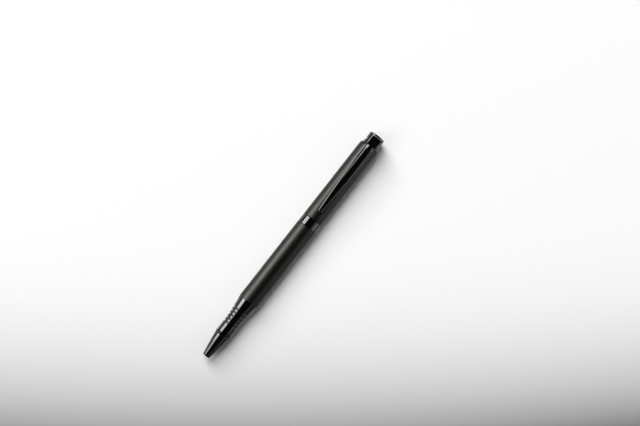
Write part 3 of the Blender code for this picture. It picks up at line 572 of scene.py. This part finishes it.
finishes = {
    "black_lacquer": blackLacquerFinish(lacquerLook),
    "satin_gunmetal": satinGunmetalFinish(gunmetalLook),
    "brass": turnedBrassFinish(brassLook),
    "steel": plainSteelFinish(steelLook),
    "acetal": mouldedAcetalFinish(acetalLook),
    "rubber": softRubberFinish(rubberLook),
}
print("finishes made:", ", ".join(finishes))


# Tools for turned pieces

crispEdge, fineEdge, softEdge = 0.03, 0.05, 0.1  # corner roundings that several pieces share, mm
weldDistance = 0.0004  # mm


def placePiece(bm, name, slotName, body, nodes, smoothAngle=32, weighted=True):
    # From the pen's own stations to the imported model's place, then an object that rides and replaces
    bmesh.ops.scale(bm, verts=bm.verts[:], vec=(mm, mm, mm))
    bmesh.ops.translate(bm, verts=bm.verts[:], vec=(penPlace["noseX"], 0, penPlace["axisHeight"]))
    data = bpy.data.meshes.new(name)
    bm.to_mesh(data)
    bm.free()
    data.shade_smooth()
    data.set_sharp_from_angle(angle=math.radians(smoothAngle))
    data.materials.append(finishes[slotName])
    piece = bpy.data.objects.new(name, data)
    bpy.context.scene.collection.objects.link(piece)
    if weighted:
        even = piece.modifiers.new("evenShading", "WEIGHTED_NORMAL")
        even.keep_sharp = True
    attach(piece, body)
    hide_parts(*nodes)
    return piece


def spinOutline(outline, sides, steps=4):
    # Outline points are (station, radius, corner rounding). An outline off the axis is a closed loop.
    bm = bmesh.new()
    corners = [bm.verts.new((station, 0, radius)) for station, radius, rounding in outline]
    pairs = list(zip(corners, corners[1:]))
    if outline[0][1] > 0:
        pairs.append((corners[-1], corners[0]))
    for pair in pairs:
        bm.edges.new(pair)
    roundings = sorted({rounding for _, _, rounding in outline if rounding})
    for size in roundings:
        group = [corner for corner, point in zip(corners, outline) if point[2] == size]
        bmesh.ops.bevel(
            bm, geom=group, offset=size, offset_type="OFFSET", segments=steps, profile=0.5,
            affect="VERTICES", material=-1,
        )
    bmesh.ops.spin(
        bm, geom=bm.verts[:] + bm.edges[:], cent=(0, 0, 0), axis=(1, 0, 0), angle=math.tau,
        steps=sides, use_merge=True,
    )
    bmesh.ops.remove_doubles(bm, verts=bm.verts[:], dist=weldDistance)
    bmesh.ops.recalc_face_normals(bm, faces=bm.faces[:])
    return bm


def fitToNode(bm, node, across=2):
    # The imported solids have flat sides, and the round piece reaches to their flats
    low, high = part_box(node)
    widest = max(math.hypot(v.co.y, v.co.z) for v in bm.verts)
    share = (high[across] - low[across]) / 2 / mm / widest
    bmesh.ops.scale(bm, verts=bm.verts[:], vec=(1, share, share))
    return share


def turnPiece(name, outline, slotName, body, node, sides=144, steps=4, smoothAngle=32):
    bm = spinOutline(outline, sides, steps)
    fitToNode(bm, node)
    placePiece(bm, name, slotName, body, [node], smoothAngle)


threadCut = {"within": 0.02, "crestRounding": 0.8}  # within: mm of the thread's own radius


def cutThread(bm, front, rear, radius, pitch, depth, inward=1):
    # Moves the rings between two stations in or out along a helix with rounded crests
    for v in bm.verts:
        reach = math.hypot(v.co.y, v.co.z)
        if front <= v.co.x <= rear and abs(reach - radius) < threadCut["within"]:
            turn = math.atan2(v.co.z, v.co.y) / math.tau
            phase = (v.co.x / pitch - turn) % 1.0
            valley = 0.5 - 0.5 * math.cos(math.tau * phase)
            fadeIn = min((v.co.x - front) / pitch, (rear - v.co.x) / pitch, 1.0)
            share = 1 - inward * depth * (valley ** threadCut["crestRounding"]) * fadeIn / reach
            v.co.y *= share
            v.co.z *= share


def evenStations(front, rear, spacing):
    count = max(round((rear - front) / spacing), 1)
    return [front + (rear - front) * i / count for i in range(count + 1)]


def barrelRings(front, rear, radius, margin=2, spacing=5.0):
    # Rings along a plain barrel, clear of its ends
    return [(x, radius, 0) for x in evenStations(front + margin, rear - margin, spacing)]


def quarterTurn(steps):
    return [math.radians(90 * i / steps) for i in range(steps + 1)]


# Front section

noseShape = {
    "length": 12.85, "tipRadius": 1.87, "tipEdge": 0.14, "rearRadius": 3.96, "rearEdge": 0.32,
    "fullness": 0.1, "curveSteps": 16, "exitRadius": 1.3, "exitFlare": (0.12, 0.08),
    "springSeat": 4.6, "chamberRadius": 2.25, "chamberEnd": 9.48, "chamberTaper": 0.4,
    "refillBore": 3.05, "spigotRadius": 3.45, "spigotEnd": 17.85, "spigotTaper": (0.15, 0.12),
    "spigotRings": 0.0625,
}


def buildNoseCone(shape):
    length, tip, rear = shape["length"], shape["tipRadius"], shape["rearRadius"]
    exitRadius, chamber, bore = shape["exitRadius"], shape["chamberRadius"], shape["refillBore"]
    flareLength, flareHeight = shape["exitFlare"]
    outline = [(0, exitRadius + flareHeight, crispEdge), (0, tip, shape["tipEdge"])]
    for i in range(1, shape["curveSteps"]):
        share = i / shape["curveSteps"]
        bulge = shape["fullness"] * math.sin(math.pi * share)
        outline.append((length * share, tip + (rear - tip) * share + bulge, 0))
    outline.append((length, rear, shape["rearEdge"]))

    # A plain spigot in even rings, then back through the bore, the spring's chamber and the exit
    spigot, end = shape["spigotRadius"], shape["spigotEnd"]
    taperLength, taperHeight = shape["spigotTaper"]
    rings = evenStations(length + 0.3, end - taperLength, shape["spigotRings"])
    outline.append((length, spigot, 0))
    outline += [(x, spigot, 0) for x in rings]
    outline += [
        (end, spigot - taperHeight, 0), (end, bore, fineEdge),
        (shape["chamberEnd"] + shape["chamberTaper"], bore, softEdge),
        (shape["chamberEnd"], chamber, softEdge), (shape["springSeat"], chamber, fineEdge),
        (shape["springSeat"], exitRadius, fineEdge), (flareLength, exitRadius, 0),
    ]
    bm = spinOutline(outline, sides=128, steps=3)
    fitToNode(bm, "nose_cone")
    placePiece(bm, "noseCone", "black_lacquer", "front_section", ["nose_cone"], smoothAngle=34)


beadShape = {
    "front": 12.9, "rear": 13.9, "foot": 3.7, "crown": 4.4, "fullness": 1.85, "halfSteps": 8, "bore": 3.5,
}


def buildNoseRing(shape):
    middle, half = (shape["front"] + shape["rear"]) / 2, (shape["rear"] - shape["front"]) / 2
    outline = [(shape["front"], shape["bore"], 0)]
    for i in range(2 * shape["halfSteps"] + 1):
        across = i / shape["halfSteps"] - 1
        lift = 1 - abs(across) ** shape["fullness"]
        outline.append((middle + half * across, shape["foot"] + (shape["crown"] - shape["foot"]) * lift, 0))
    outline.append((shape["rear"], shape["bore"], 0))
    turnPiece("noseRing", outline, "black_lacquer", "front_section", "nose_ring", smoothAngle=40)


gripShape = {
    "front": 13.95, "rear": 33.6, "frontRadius": 3.97, "rearRadius": 5.36, "waist": 3.1,
    "frontEdge": 0.33, "rearEdge": 0.12, "grooves": 5, "firstGroove": 5.65, "groovePitch": 2.0,
    "grooveWidth": 1.05, "grooveDepth": 0.38, "landRounding": 0.06, "flareSpacing": 0.6,
    "grooveShares": (-1, -0.8, -0.55, -0.28, 0, 0.28, 0.55, 0.8, 1),  # across half its width
    "reliefLength": 0.7, "reliefDepth": 0.28, "threadRadius": 4.3, "threadEnd": 40.8,
    "threadPitch": 0.7, "threadDepth": 0.26, "threadTaper": 0.25, "ringsPerTurn": 9,
    "refillBore": 3.05, "socketRadius": 3.5, "socketEnd": 17.9,
}


def gripRadius(shape, station):
    # Straight behind the nose ring, then a flare that grows with the square of the distance
    start = shape["front"] + shape["waist"]
    along = max(station - start, 0) / (shape["rear"] - start)
    return shape["frontRadius"] + (shape["rearRadius"] - shape["frontRadius"]) * along ** 2


def buildGrip(shape):
    front, rear = shape["front"], shape["rear"]
    outline = [
        (front, shape["frontRadius"], shape["frontEdge"]),
        (front + shape["waist"], shape["frontRadius"], 0),
    ]
    for i in range(shape["grooves"]):
        middle = front + shape["firstGroove"] + i * shape["groovePitch"]
        for share in shape["grooveShares"]:
            station = middle + share * shape["grooveWidth"] / 2
            sunk = shape["grooveDepth"] * (1 - share ** 2)
            rounding = shape["landRounding"] if abs(share) == 1 else 0
            outline.append((station, gripRadius(shape, station) - sunk, rounding))
    for station in evenStations(outline[-1][0] + 0.5, rear - 0.25, shape["flareSpacing"]):
        outline.append((station, gripRadius(shape, station), 0))
    outline.append((rear, shape["rearRadius"], shape["rearEdge"]))

    # A relief behind the shoulder, the spigot for the thread, then back through the bore
    thread, end, taper = shape["threadRadius"], shape["threadEnd"], shape["threadTaper"]
    relief, reliefEnd = thread - shape["reliefDepth"], rear + shape["reliefLength"]
    spacing = shape["threadPitch"] / shape["ringsPerTurn"]
    outline += [(rear, relief, 0.08), (reliefEnd, relief, 0)]
    outline += [(x, thread, 0) for x in evenStations(reliefEnd + 0.2, end - taper, spacing)]
    outline += [
        (end, thread - taper, 0), (end, shape["refillBore"], 0.08),
        (shape["socketEnd"], shape["refillBore"], 0), (shape["socketEnd"], shape["socketRadius"], 0),
        (front, shape["socketRadius"], 0.06),
    ]
    bm = spinOutline(outline, sides=144, steps=4)
    radius = thread * fitToNode(bm, "grip_section")
    cutThread(bm, reliefEnd + 0.15, end - 0.2, radius, shape["threadPitch"], shape["threadDepth"])
    placePiece(bm, "gripSection", "black_lacquer", "front_section", ["grip_section"], smoothAngle=34)


springShape = {
    "front": 4.7, "rear": 14.9, "meanRadius": 1.875, "wireRadius": 0.17, "wireSides": 12,
    "turns": 8, "stepsPerTurn": 36, "endPitch": 0.42, "fixedEnd": 4.6, "travel": 5.0,
}


def buildReturnSpring(shape):
    # One wire: a closed coil at each end and open coils between, swept round the axis
    wire, turns = shape["wireRadius"], shape["turns"]
    first, last = shape["front"] + wire, shape["rear"] - wire
    openPitch = (last - first - 2 * shape["endPitch"]) / (turns - 2)
    bm = bmesh.new()
    ring = bmesh.ops.create_circle(
        bm, segments=shape["wireSides"], radius=wire, cap_ends=True,
        matrix=Matrix.Translation((first, 0, shape["meanRadius"])) @ Matrix.Rotation(math.pi / 2, 4, "X"),
    )["verts"]
    geometry = ring + list({edge for v in ring for edge in v.link_edges})
    steps = shape["stepsPerTurn"]
    for pitch, coils in ((shape["endPitch"], 1), (openPitch, turns - 2), (shape["endPitch"], 1)):
        swept = bmesh.ops.spin(
            bm, geom=geometry, cent=(0, 0, 0), axis=(1, 0, 0), dvec=(pitch / steps, 0, 0),
            angle=math.tau * coils, steps=steps * coils,
        )
        geometry = [item for item in swept["geom_last"] if not isinstance(item, bmesh.types.BMFace)]
    lastRing = [item for item in geometry if isinstance(item, bmesh.types.BMEdge)]
    bmesh.ops.contextual_create(bm, geom=lastRing)
    bmesh.ops.recalc_face_normals(bm, faces=bm.faces[:])
    spring = placePiece(
        bm, "returnSpring", "steel", "front_section", ["return_spring"], smoothAngle=60, weighted=False,
    )
    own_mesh(spring)


buildNoseCone(noseShape)
buildNoseRing(beadShape)
buildGrip(gripShape)
buildReturnSpring(springShape)
print("front section made")


# Lower barrel, front bush and centre ring

lowerBarrelShape = {"front": 33.65, "rear": 80.0, "radius": 5.38, "bore": 4.83, "edge": 0.12}


def buildLowerBarrel(shape):
    front, rear, radius, edge = shape["front"], shape["rear"], shape["radius"], shape["edge"]
    outline = [(front, radius, edge), *barrelRings(front, rear, radius), (rear, radius, edge)]
    outline += [(rear, shape["bore"], fineEdge), (front, shape["bore"], fineEdge)]
    turnPiece("lowerBarrel", outline, "satin_gunmetal", "lower_body", "lower_barrel")


frontBushShape = {
    "front": 33.77, "rear": 40.85, "radius": 4.78, "bore": 4.38, "mouths": (0.15, 0.1),
    "threadPitch": 0.7, "threadDepth": 0.2, "threadMargin": 0.2, "ringsPerTurn": 8,
}


def buildFrontBush(shape):
    front, rear, outer, bore = shape["front"], shape["rear"], shape["radius"], shape["bore"]
    first, last = front + shape["threadMargin"], rear - shape["threadMargin"]
    frontMouth, rearMouth = shape["mouths"]
    rings = evenStations(first, last, shape["threadPitch"] / shape["ringsPerTurn"])
    outline = [(front, outer, softEdge), (rear, outer, softEdge), (rear, bore + rearMouth, 0)]
    outline += [(x, bore, 0) for x in reversed(rings)]
    outline.append((front, bore + frontMouth, 0))
    bm = spinOutline(outline, sides=112, steps=3)
    radius = bore * fitToNode(bm, "front_bush")
    cutThread(bm, first, last, radius, shape["threadPitch"], shape["threadDepth"], inward=-1)
    placePiece(bm, "frontBush", "brass", "lower_body", ["front_bush"], smoothAngle=34)


centreRingShape = {
    "front": 80.01, "rear": 84.64, "radius": 5.23, "frontEdge": 0.2,
    "rearEdge": 0.36, "bore": 4.55, "fitted": 5.345,
}


def buildCentreRing(shape):
    front, rear, radius, bore = shape["front"], shape["rear"], shape["radius"], shape["bore"]
    outline = [
        (front, radius, shape["frontEdge"]), (rear, radius, shape["rearEdge"]),
        (rear, bore, 0.06), (front, bore, 0.06),
    ]
    # As wide as the lower barrel, as the photograph shows it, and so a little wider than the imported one
    bm = spinOutline(outline, sides=144, steps=8)
    share = shape["fitted"] / radius
    bmesh.ops.scale(bm, verts=bm.verts[:], vec=(1, share, share))
    placePiece(bm, "centreRing", "black_lacquer", "lower_body", ["centre_ring"])


buildLowerBarrel(lowerBarrelShape)
buildFrontBush(frontBushShape)
buildCentreRing(centreRingShape)
print("lower barrel, front bush and centre ring made")


# Upper barrel, neck, cap and clip

upperBarrelShape = {
    "front": 84.65, "rear": 130.75, "radius": 5.29, "bore": 4.74, "edge": 0.22,
    "shoulderLength": 1.95, "shoulderEnd": 4.36, "curveSteps": 16, "neckHole": 3.25,
}


def buildUpperBarrel(shape):
    front, rear, radius, hole = shape["front"], shape["rear"], shape["radius"], shape["neckHole"]
    shoulder = rear - shape["shoulderLength"]
    outline = [(front, radius, shape["edge"]), *barrelRings(front, shoulder, radius)]
    for angle in reversed(quarterTurn(shape["curveSteps"])):
        station = shoulder + shape["shoulderLength"] * math.cos(angle)
        drop = radius - shape["shoulderEnd"]
        outline.append((station, shape["shoulderEnd"] + drop * math.sin(angle), 0))
    outline += [
        (rear, hole, 0.04), (shoulder, hole, 0),
        (shoulder, shape["bore"], softEdge), (front, shape["bore"], fineEdge),
    ]
    turnPiece("upperBarrel", outline, "satin_gunmetal", "upper_body", "upper_barrel")


neckShape = {
    "front": 130.8, "rear": 132.6, "radius": 4.18, "frontEdge": 0.12, "rearEdge": 0.22,
    "spigotFront": 128.85, "spigotRadius": 3.2, "bore": 1.3,
}


def buildNeckRing(shape):
    front, rear, radius, bore = shape["front"], shape["rear"], shape["radius"], shape["bore"]
    outline = [
        (shape["spigotFront"], bore, crispEdge), (shape["spigotFront"], shape["spigotRadius"], fineEdge),
        (front, shape["spigotRadius"], 0), (front, radius, shape["frontEdge"]),
        (rear, radius, shape["rearEdge"]), (rear, bore, crispEdge),
    ]
    turnPiece("neckRing", outline, "black_lacquer", "upper_body", "neck_ring")


capShape = {
    "front": 133.35, "rear": 137.0, "radius": 4.18, "frontEdge": 0.12, "endRounding": 0.45,
    "roundingSteps": 12, "crown": 0.2, "flatRadius": 2.0, "flatEdge": 0.5, "bore": 1.3, "boreEnd": 135.6,
}


def buildTopCap(shape):
    # A flat middle, a cone down from it and a rounded edge, then back to the stud's hole
    front, rear, radius, bore = shape["front"], shape["rear"], shape["radius"], shape["bore"]
    flat, edge = shape["flatRadius"], shape["endRounding"]
    outline = [(rear, 0, 0), (rear, flat * 0.6, 0), (rear, flat, shape["flatEdge"])]
    edgeStation, edgeRadius = rear - shape["crown"] - edge, radius - edge
    for angle in quarterTurn(shape["roundingSteps"]):
        outline.append((edgeStation + edge * math.cos(angle), edgeRadius + edge * math.sin(angle), 0))
    outline += [
        (front, radius, shape["frontEdge"]), (front, bore, crispEdge),
        (shape["boreEnd"], bore, 0), (shape["boreEnd"], 0, 0),
    ]
    turnPiece("topCap", outline, "black_lacquer", "upper_body", "top_cap")


clipRingShape = {
    "front": 132.65, "rear": 133.3, "radius": 3.83, "bore": 1.3, "edge": 0.08,
    "tabHalf": 1.0, "tabFoot": 3.4, "tabSetback": 0.05, "tabEdge": 0.06,
}


def buildClipRing(shape):
    # The ring that the clip grows from, with its tab up into the clip
    front, rear, radius, edge = shape["front"], shape["rear"], shape["radius"], shape["edge"]
    outline = [
        (front, shape["bore"], crispEdge), (front, radius, edge),
        (rear, radius, edge), (rear, shape["bore"], crispEdge),
    ]
    bm = spinOutline(outline, sides=144, steps=3)
    fitToNode(bm, "clip_ring", across=1)  # by its width, because the tab adds to its height
    foot, top = shape["tabFoot"], (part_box("clip_ring")[1].z - penPlace["axisHeight"]) / mm
    size = Matrix.Diagonal((rear - front - 2 * shape["tabSetback"], 2 * shape["tabHalf"], top - foot, 1))
    place = Matrix.Translation(((front + rear) / 2, 0, (top + foot) / 2))
    tab = bmesh.ops.create_cube(bm, size=1, matrix=place @ size)["verts"]
    edges = list({e for v in tab for e in v.link_edges})
    bmesh.ops.bevel(
        bm, geom=edges, offset=shape["tabEdge"], offset_type="OFFSET", segments=2, profile=0.5,
        affect="EDGES", material=-1,
    )
    placePiece(bm, "clipRing", "black_lacquer", "upper_body", ["clip_ring"])


clipShape = {
    "rear": 135.475, "length": 46.0, "rootHalf": 2.73, "tipHalf": 0.95, "taperStart": 13.8,
    "riseRear": 131.43, "riseFront": 129.38, "crestRear": 130.45, "crestFront": 129.65,
    "rootSeat": 4.43, "rootThickness": 3.05, "bevelWidth": 0.22, "bevelHeight": 0.16,
    "endBevel": 0.34, "endDrop": 0.7, "sideHeight": 0.35, "sideTilt": 55, "bevelTilt": 30,
    "facetTilt": (37.5, 44), "facetHalf": 1.42, "facetBorder": 0.65, "facetLeast": 0.35,
    "flare": 2.4, "flareNarrows": 0.38, "flareTilt": 14,
    "bladeRoot": 128.8, "barrelRadius": 5.29, "bladeGap": 0.35, "arch": 0.3,
    "footGap": 0.06, "footFromTip": 1.9, "footLength": 4.0,
    "hollowShares": (0, 0.25, 0.5, 0.75, 0.95, 1), "sideSteps": 24, "facetSteps": 4, "tipSteps": 12,
}


def smoothStep(value, low, high):
    share = min(max((value - low) / (high - low), 0), 1)
    return share * share * (3 - 2 * share)


def alongTaper(shape, station):
    tip, taperStart = shape["rear"] - shape["length"], shape["rear"] - shape["taperStart"]
    return min(max((taperStart - station) / (taperStart - tip), 0), 1)


def clipHalfWidth(shape, station):
    tip = shape["rear"] - shape["length"]
    straight = shape["rootHalf"] + (shape["tipHalf"] - shape["rootHalf"]) * alongTaper(shape, station)
    toTip = min((station - tip) / shape["tipHalf"], 1)
    rounding = shape["tipHalf"] * (1 - math.sqrt(max(1 - (1 - toTip) ** 2, 0)))
    return max(straight - rounding, shape["tipHalf"] / 3)


def bladeSeat(shape, station):
    # The blade's slightly arched underside, which dips to its foot near the tip
    foot = shape["rear"] - shape["length"] + shape["footFromTip"]
    along = (shape["bladeRoot"] - station) / (shape["bladeRoot"] - foot)
    arch = shape["arch"] * 4 * max(along, 0) * max(1 - along, 0)
    nearFoot = 1 - smoothStep(abs(station - foot), 0, shape["footLength"] / 2)
    dip = (shape["bladeGap"] - shape["footGap"]) * nearFoot
    return shape["barrelRadius"] + shape["bladeGap"] + arch - dip


def clipSection(shape, station):
    # Half of one cross-section, from the middle of the underside round to the middle of the top
    rise = 1 - smoothStep(station, shape["riseFront"], shape["riseRear"])
    crest = 1 - smoothStep(station, shape["crestFront"], shape["crestRear"])
    seat = shape["rootSeat"] + (bladeSeat(shape, station) - shape["rootSeat"]) * rise
    half = clipHalfWidth(shape, station)
    points = []
    for share in shape["hollowShares"]:  # hollow under the root, so that it lies round the cap
        y = half * share
        points.append((y, seat - (seat - math.sqrt(seat ** 2 - y ** 2)) * (1 - rise)))

    # A rounded bar with a flat facet along it, whose tilt grows evenly towards its sides. The facet
    # narrows where the bar meets the bevelled block at the root.
    flare = smoothStep(station, shape["crestFront"] - shape["flare"], shape["crestFront"])
    facet = max(min(shape["facetHalf"], half - shape["facetBorder"]), shape["facetLeast"] * half)
    facet *= 1 - shape["flareNarrows"] * flare
    rootTilt, tipTilt = shape["facetTilt"]
    facetTilt = rootTilt + (tipTilt - rootTilt) * alongTaper(shape, station) - shape["flareTilt"] * flare
    sideTop = bladeSeat(shape, station) + shape["sideHeight"]
    rootTop = shape["rootSeat"] + shape["rootThickness"]
    endDrop = shape["endDrop"] * max((station - shape["rear"]) / shape["endBevel"] + 1, 0)
    steps, facetSteps = shape["sideSteps"], shape["facetSteps"]
    bar = sideTop
    for i in range(steps + facetSteps + 1):
        onSide = i <= steps
        y = half + (facet - half) * i / steps if onSide else facet * (1 - (i - steps) / facetSteps)
        if i > 0 and onSide:
            stepWidth = (half - facet) / steps
            outward = 1 - (i - 0.5) / steps
            tilt = facetTilt + (shape["sideTilt"] - facetTilt) * outward
            if (i - 0.5) * stepWidth < shape["bevelWidth"]:
                tilt = shape["bevelTilt"]
            bar += stepWidth * math.tan(math.radians(tilt))
        intoBevel = max(1 - (half - y) / shape["bevelWidth"], 0)
        root = rootTop - max(shape["bevelHeight"] * intoBevel, endDrop)
        points.append((y, root + (bar - root) * crest))
    return points


def clipStations(shape):
    rear, tip = shape["rear"], shape["rear"] - shape["length"]
    foot = tip + shape["footFromTip"] + shape["footLength"] / 2
    stations = evenStations(rear, rear - shape["endBevel"], -0.2)
    stations += evenStations(rear - shape["endBevel"], shape["riseRear"], -0.4)[1:]
    stations += evenStations(shape["riseRear"], shape["crestFront"], -0.1)[1:]
    stations += evenStations(shape["crestFront"], foot, -0.9)[1:]
    stations += evenStations(foot, tip + shape["tipHalf"], -0.15)[1:]
    toTip = [1 - math.sin(angle) for angle in quarterTurn(shape["tipSteps"])[1:]]
    return stations + [tip + shape["tipHalf"] * share for share in toTip]


def buildClip(shape):
    # The first section is drawn as a closed wire, then drawn out along the clip section by section
    bm = bmesh.new()
    stations = clipStations(shape)

    def loopPoints(station):
        right = clipSection(shape, station)
        left = [(-y, z) for y, z in reversed(right[1:-1])]
        return [(station, -y, z) for y, z in right + left]

    first = [bm.verts.new(point) for point in loopPoints(stations[0])]
    loop = [bm.edges.new((first[i - 1], first[i])) for i in range(len(first))]
    bmesh.ops.contextual_create(bm, geom=loop)
    verts = first
    for station in stations[1:]:
        drawn = bmesh.ops.extrude_edge_only(bm, edges=loop)["geom"]
        fresh = {item for item in drawn if isinstance(item, bmesh.types.BMVert)}
        following = []
        for v in verts:
            following.append(next(e.other_vert(v) for e in v.link_edges if e.other_vert(v) in fresh))
        for v, point in zip(following, loopPoints(station)):
            v.co = point
        verts = following
        loop = [bm.edges.get((verts[i - 1], verts[i])) for i in range(len(verts))]
    bmesh.ops.contextual_create(bm, geom=loop)
    bmesh.ops.recalc_face_normals(bm, faces=bm.faces[:])
    placePiece(bm, "pocketClip", "black_lacquer", "clip", ["clip"], smoothAngle=30)


buildUpperBarrel(upperBarrelShape)
buildNeckRing(neckShape)
buildTopCap(capShape)
buildClipRing(clipRingShape)
buildClip(clipShape)
print("upper barrel, cap and clip made")


# Refill

refillShape = {
    "tip": 1.8, "rear": 99.9, "radius": 2.95, "wall": 0.25, "neckRadius": 1.5, "neckFront": 9.8,
    "shoulder": 15.0, "shoulderRadius": 2.35, "pointRadius": 1.15, "pointCone": 2.4,
    "tailRadius": 0.75, "tailLength": 3.0, "ballRadius": 0.5, "ballClearance": 0.04,
    "socketSteps": 12, "socketStep": 10, "rimWidth": 0.06, "plugLength": 2.2, "fit": 0.05,
}


def buildRefillTube(shape):
    radius, bore, wall = shape["radius"], shape["radius"] - shape["wall"], shape["wall"]
    neckFront, neck, shoulder = shape["neckFront"], shape["neckRadius"], shape["shoulder"]
    coneEnd = shoulder + radius - shape["shoulderRadius"]
    rear = shape["rear"] - shape["plugLength"]
    hole = shape["tailRadius"] + 0.06
    outline = [
        (neckFront, neck, softEdge), (shoulder, neck, 0.06), (shoulder, shape["shoulderRadius"], 0.08),
        (coneEnd, radius, softEdge), (rear, radius, 0.06), (rear, bore, 0),
        (coneEnd + wall, bore, softEdge), (shoulder + wall, hole, 0), (neckFront, hole, 0),
    ]
    turnPiece("refillTube", outline, "steel", "refill", "refill_tube", sides=96)


def buildRefillPoint(shape):
    # The socket round the ball's back, the rim round its front, then the cone and the tail
    centre = shape["tip"] + shape["ballRadius"]
    socket = shape["ballRadius"] + shape["ballClearance"]
    outline = [(centre + socket, 0, 0)]
    for i in range(1, shape["socketSteps"] + 1):
        angle = math.radians(shape["socketStep"] * i)
        outline.append((centre + socket * math.cos(angle), socket * math.sin(angle), 0))
    rimStation, rimRadius, _ = outline[-1]
    seat, tailEnd = shape["neckFront"] - shape["fit"], shape["neckFront"] + shape["tailLength"]
    outline += [
        (rimStation, rimRadius + shape["rimWidth"], 0.02),
        (shape["tip"] + shape["pointCone"], shape["pointRadius"], 0.15),
        (seat, shape["pointRadius"], 0.06), (seat, shape["tailRadius"], 0),
        (tailEnd, shape["tailRadius"], fineEdge), (tailEnd, 0, 0),
    ]
    turnPiece("refillPoint", outline, "brass", "refill", "refill_point", sides=80)


def buildRefillEndPlug(shape):
    # Half of it is pressed into the tube
    radius, rear, length = shape["radius"], shape["rear"], shape["plugLength"]
    inner = radius - shape["wall"] - shape["fit"]
    front, flange = rear - 2 * length, rear - length + shape["fit"]
    outline = [
        (front, 0, 0), (front, inner, softEdge), (flange, inner, 0), (flange, radius, fineEdge),
        (rear, radius, 0.15), (rear, 0, 0),
    ]
    turnPiece("refillEndPlug", outline, "acetal", "refill", "refill_end_plug", sides=96)


def buildPointBall(shape):
    bm = bmesh.new()
    bmesh.ops.create_uvsphere(bm, u_segments=32, v_segments=20, radius=shape["ballRadius"])
    fitToNode(bm, "point_ball")
    centre = shape["tip"] + shape["ballRadius"]
    bmesh.ops.translate(bm, verts=bm.verts[:], vec=(centre, 0, 0))
    placePiece(bm, "pointBall", "steel", "ball", ["point_ball"], smoothAngle=60, weighted=False)


for build in (buildRefillTube, buildRefillPoint, buildRefillEndPlug, buildPointBall):
    build(refillShape)
print("refill made")


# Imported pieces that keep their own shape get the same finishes

for subpart in frame["record"]["subparts"]:
    node = frame["nodes"][subpart["node"]]
    if not node.hide_render:
        node.data.materials.clear()
        node.data.materials.append(finishes[subpart["material_slot"]])
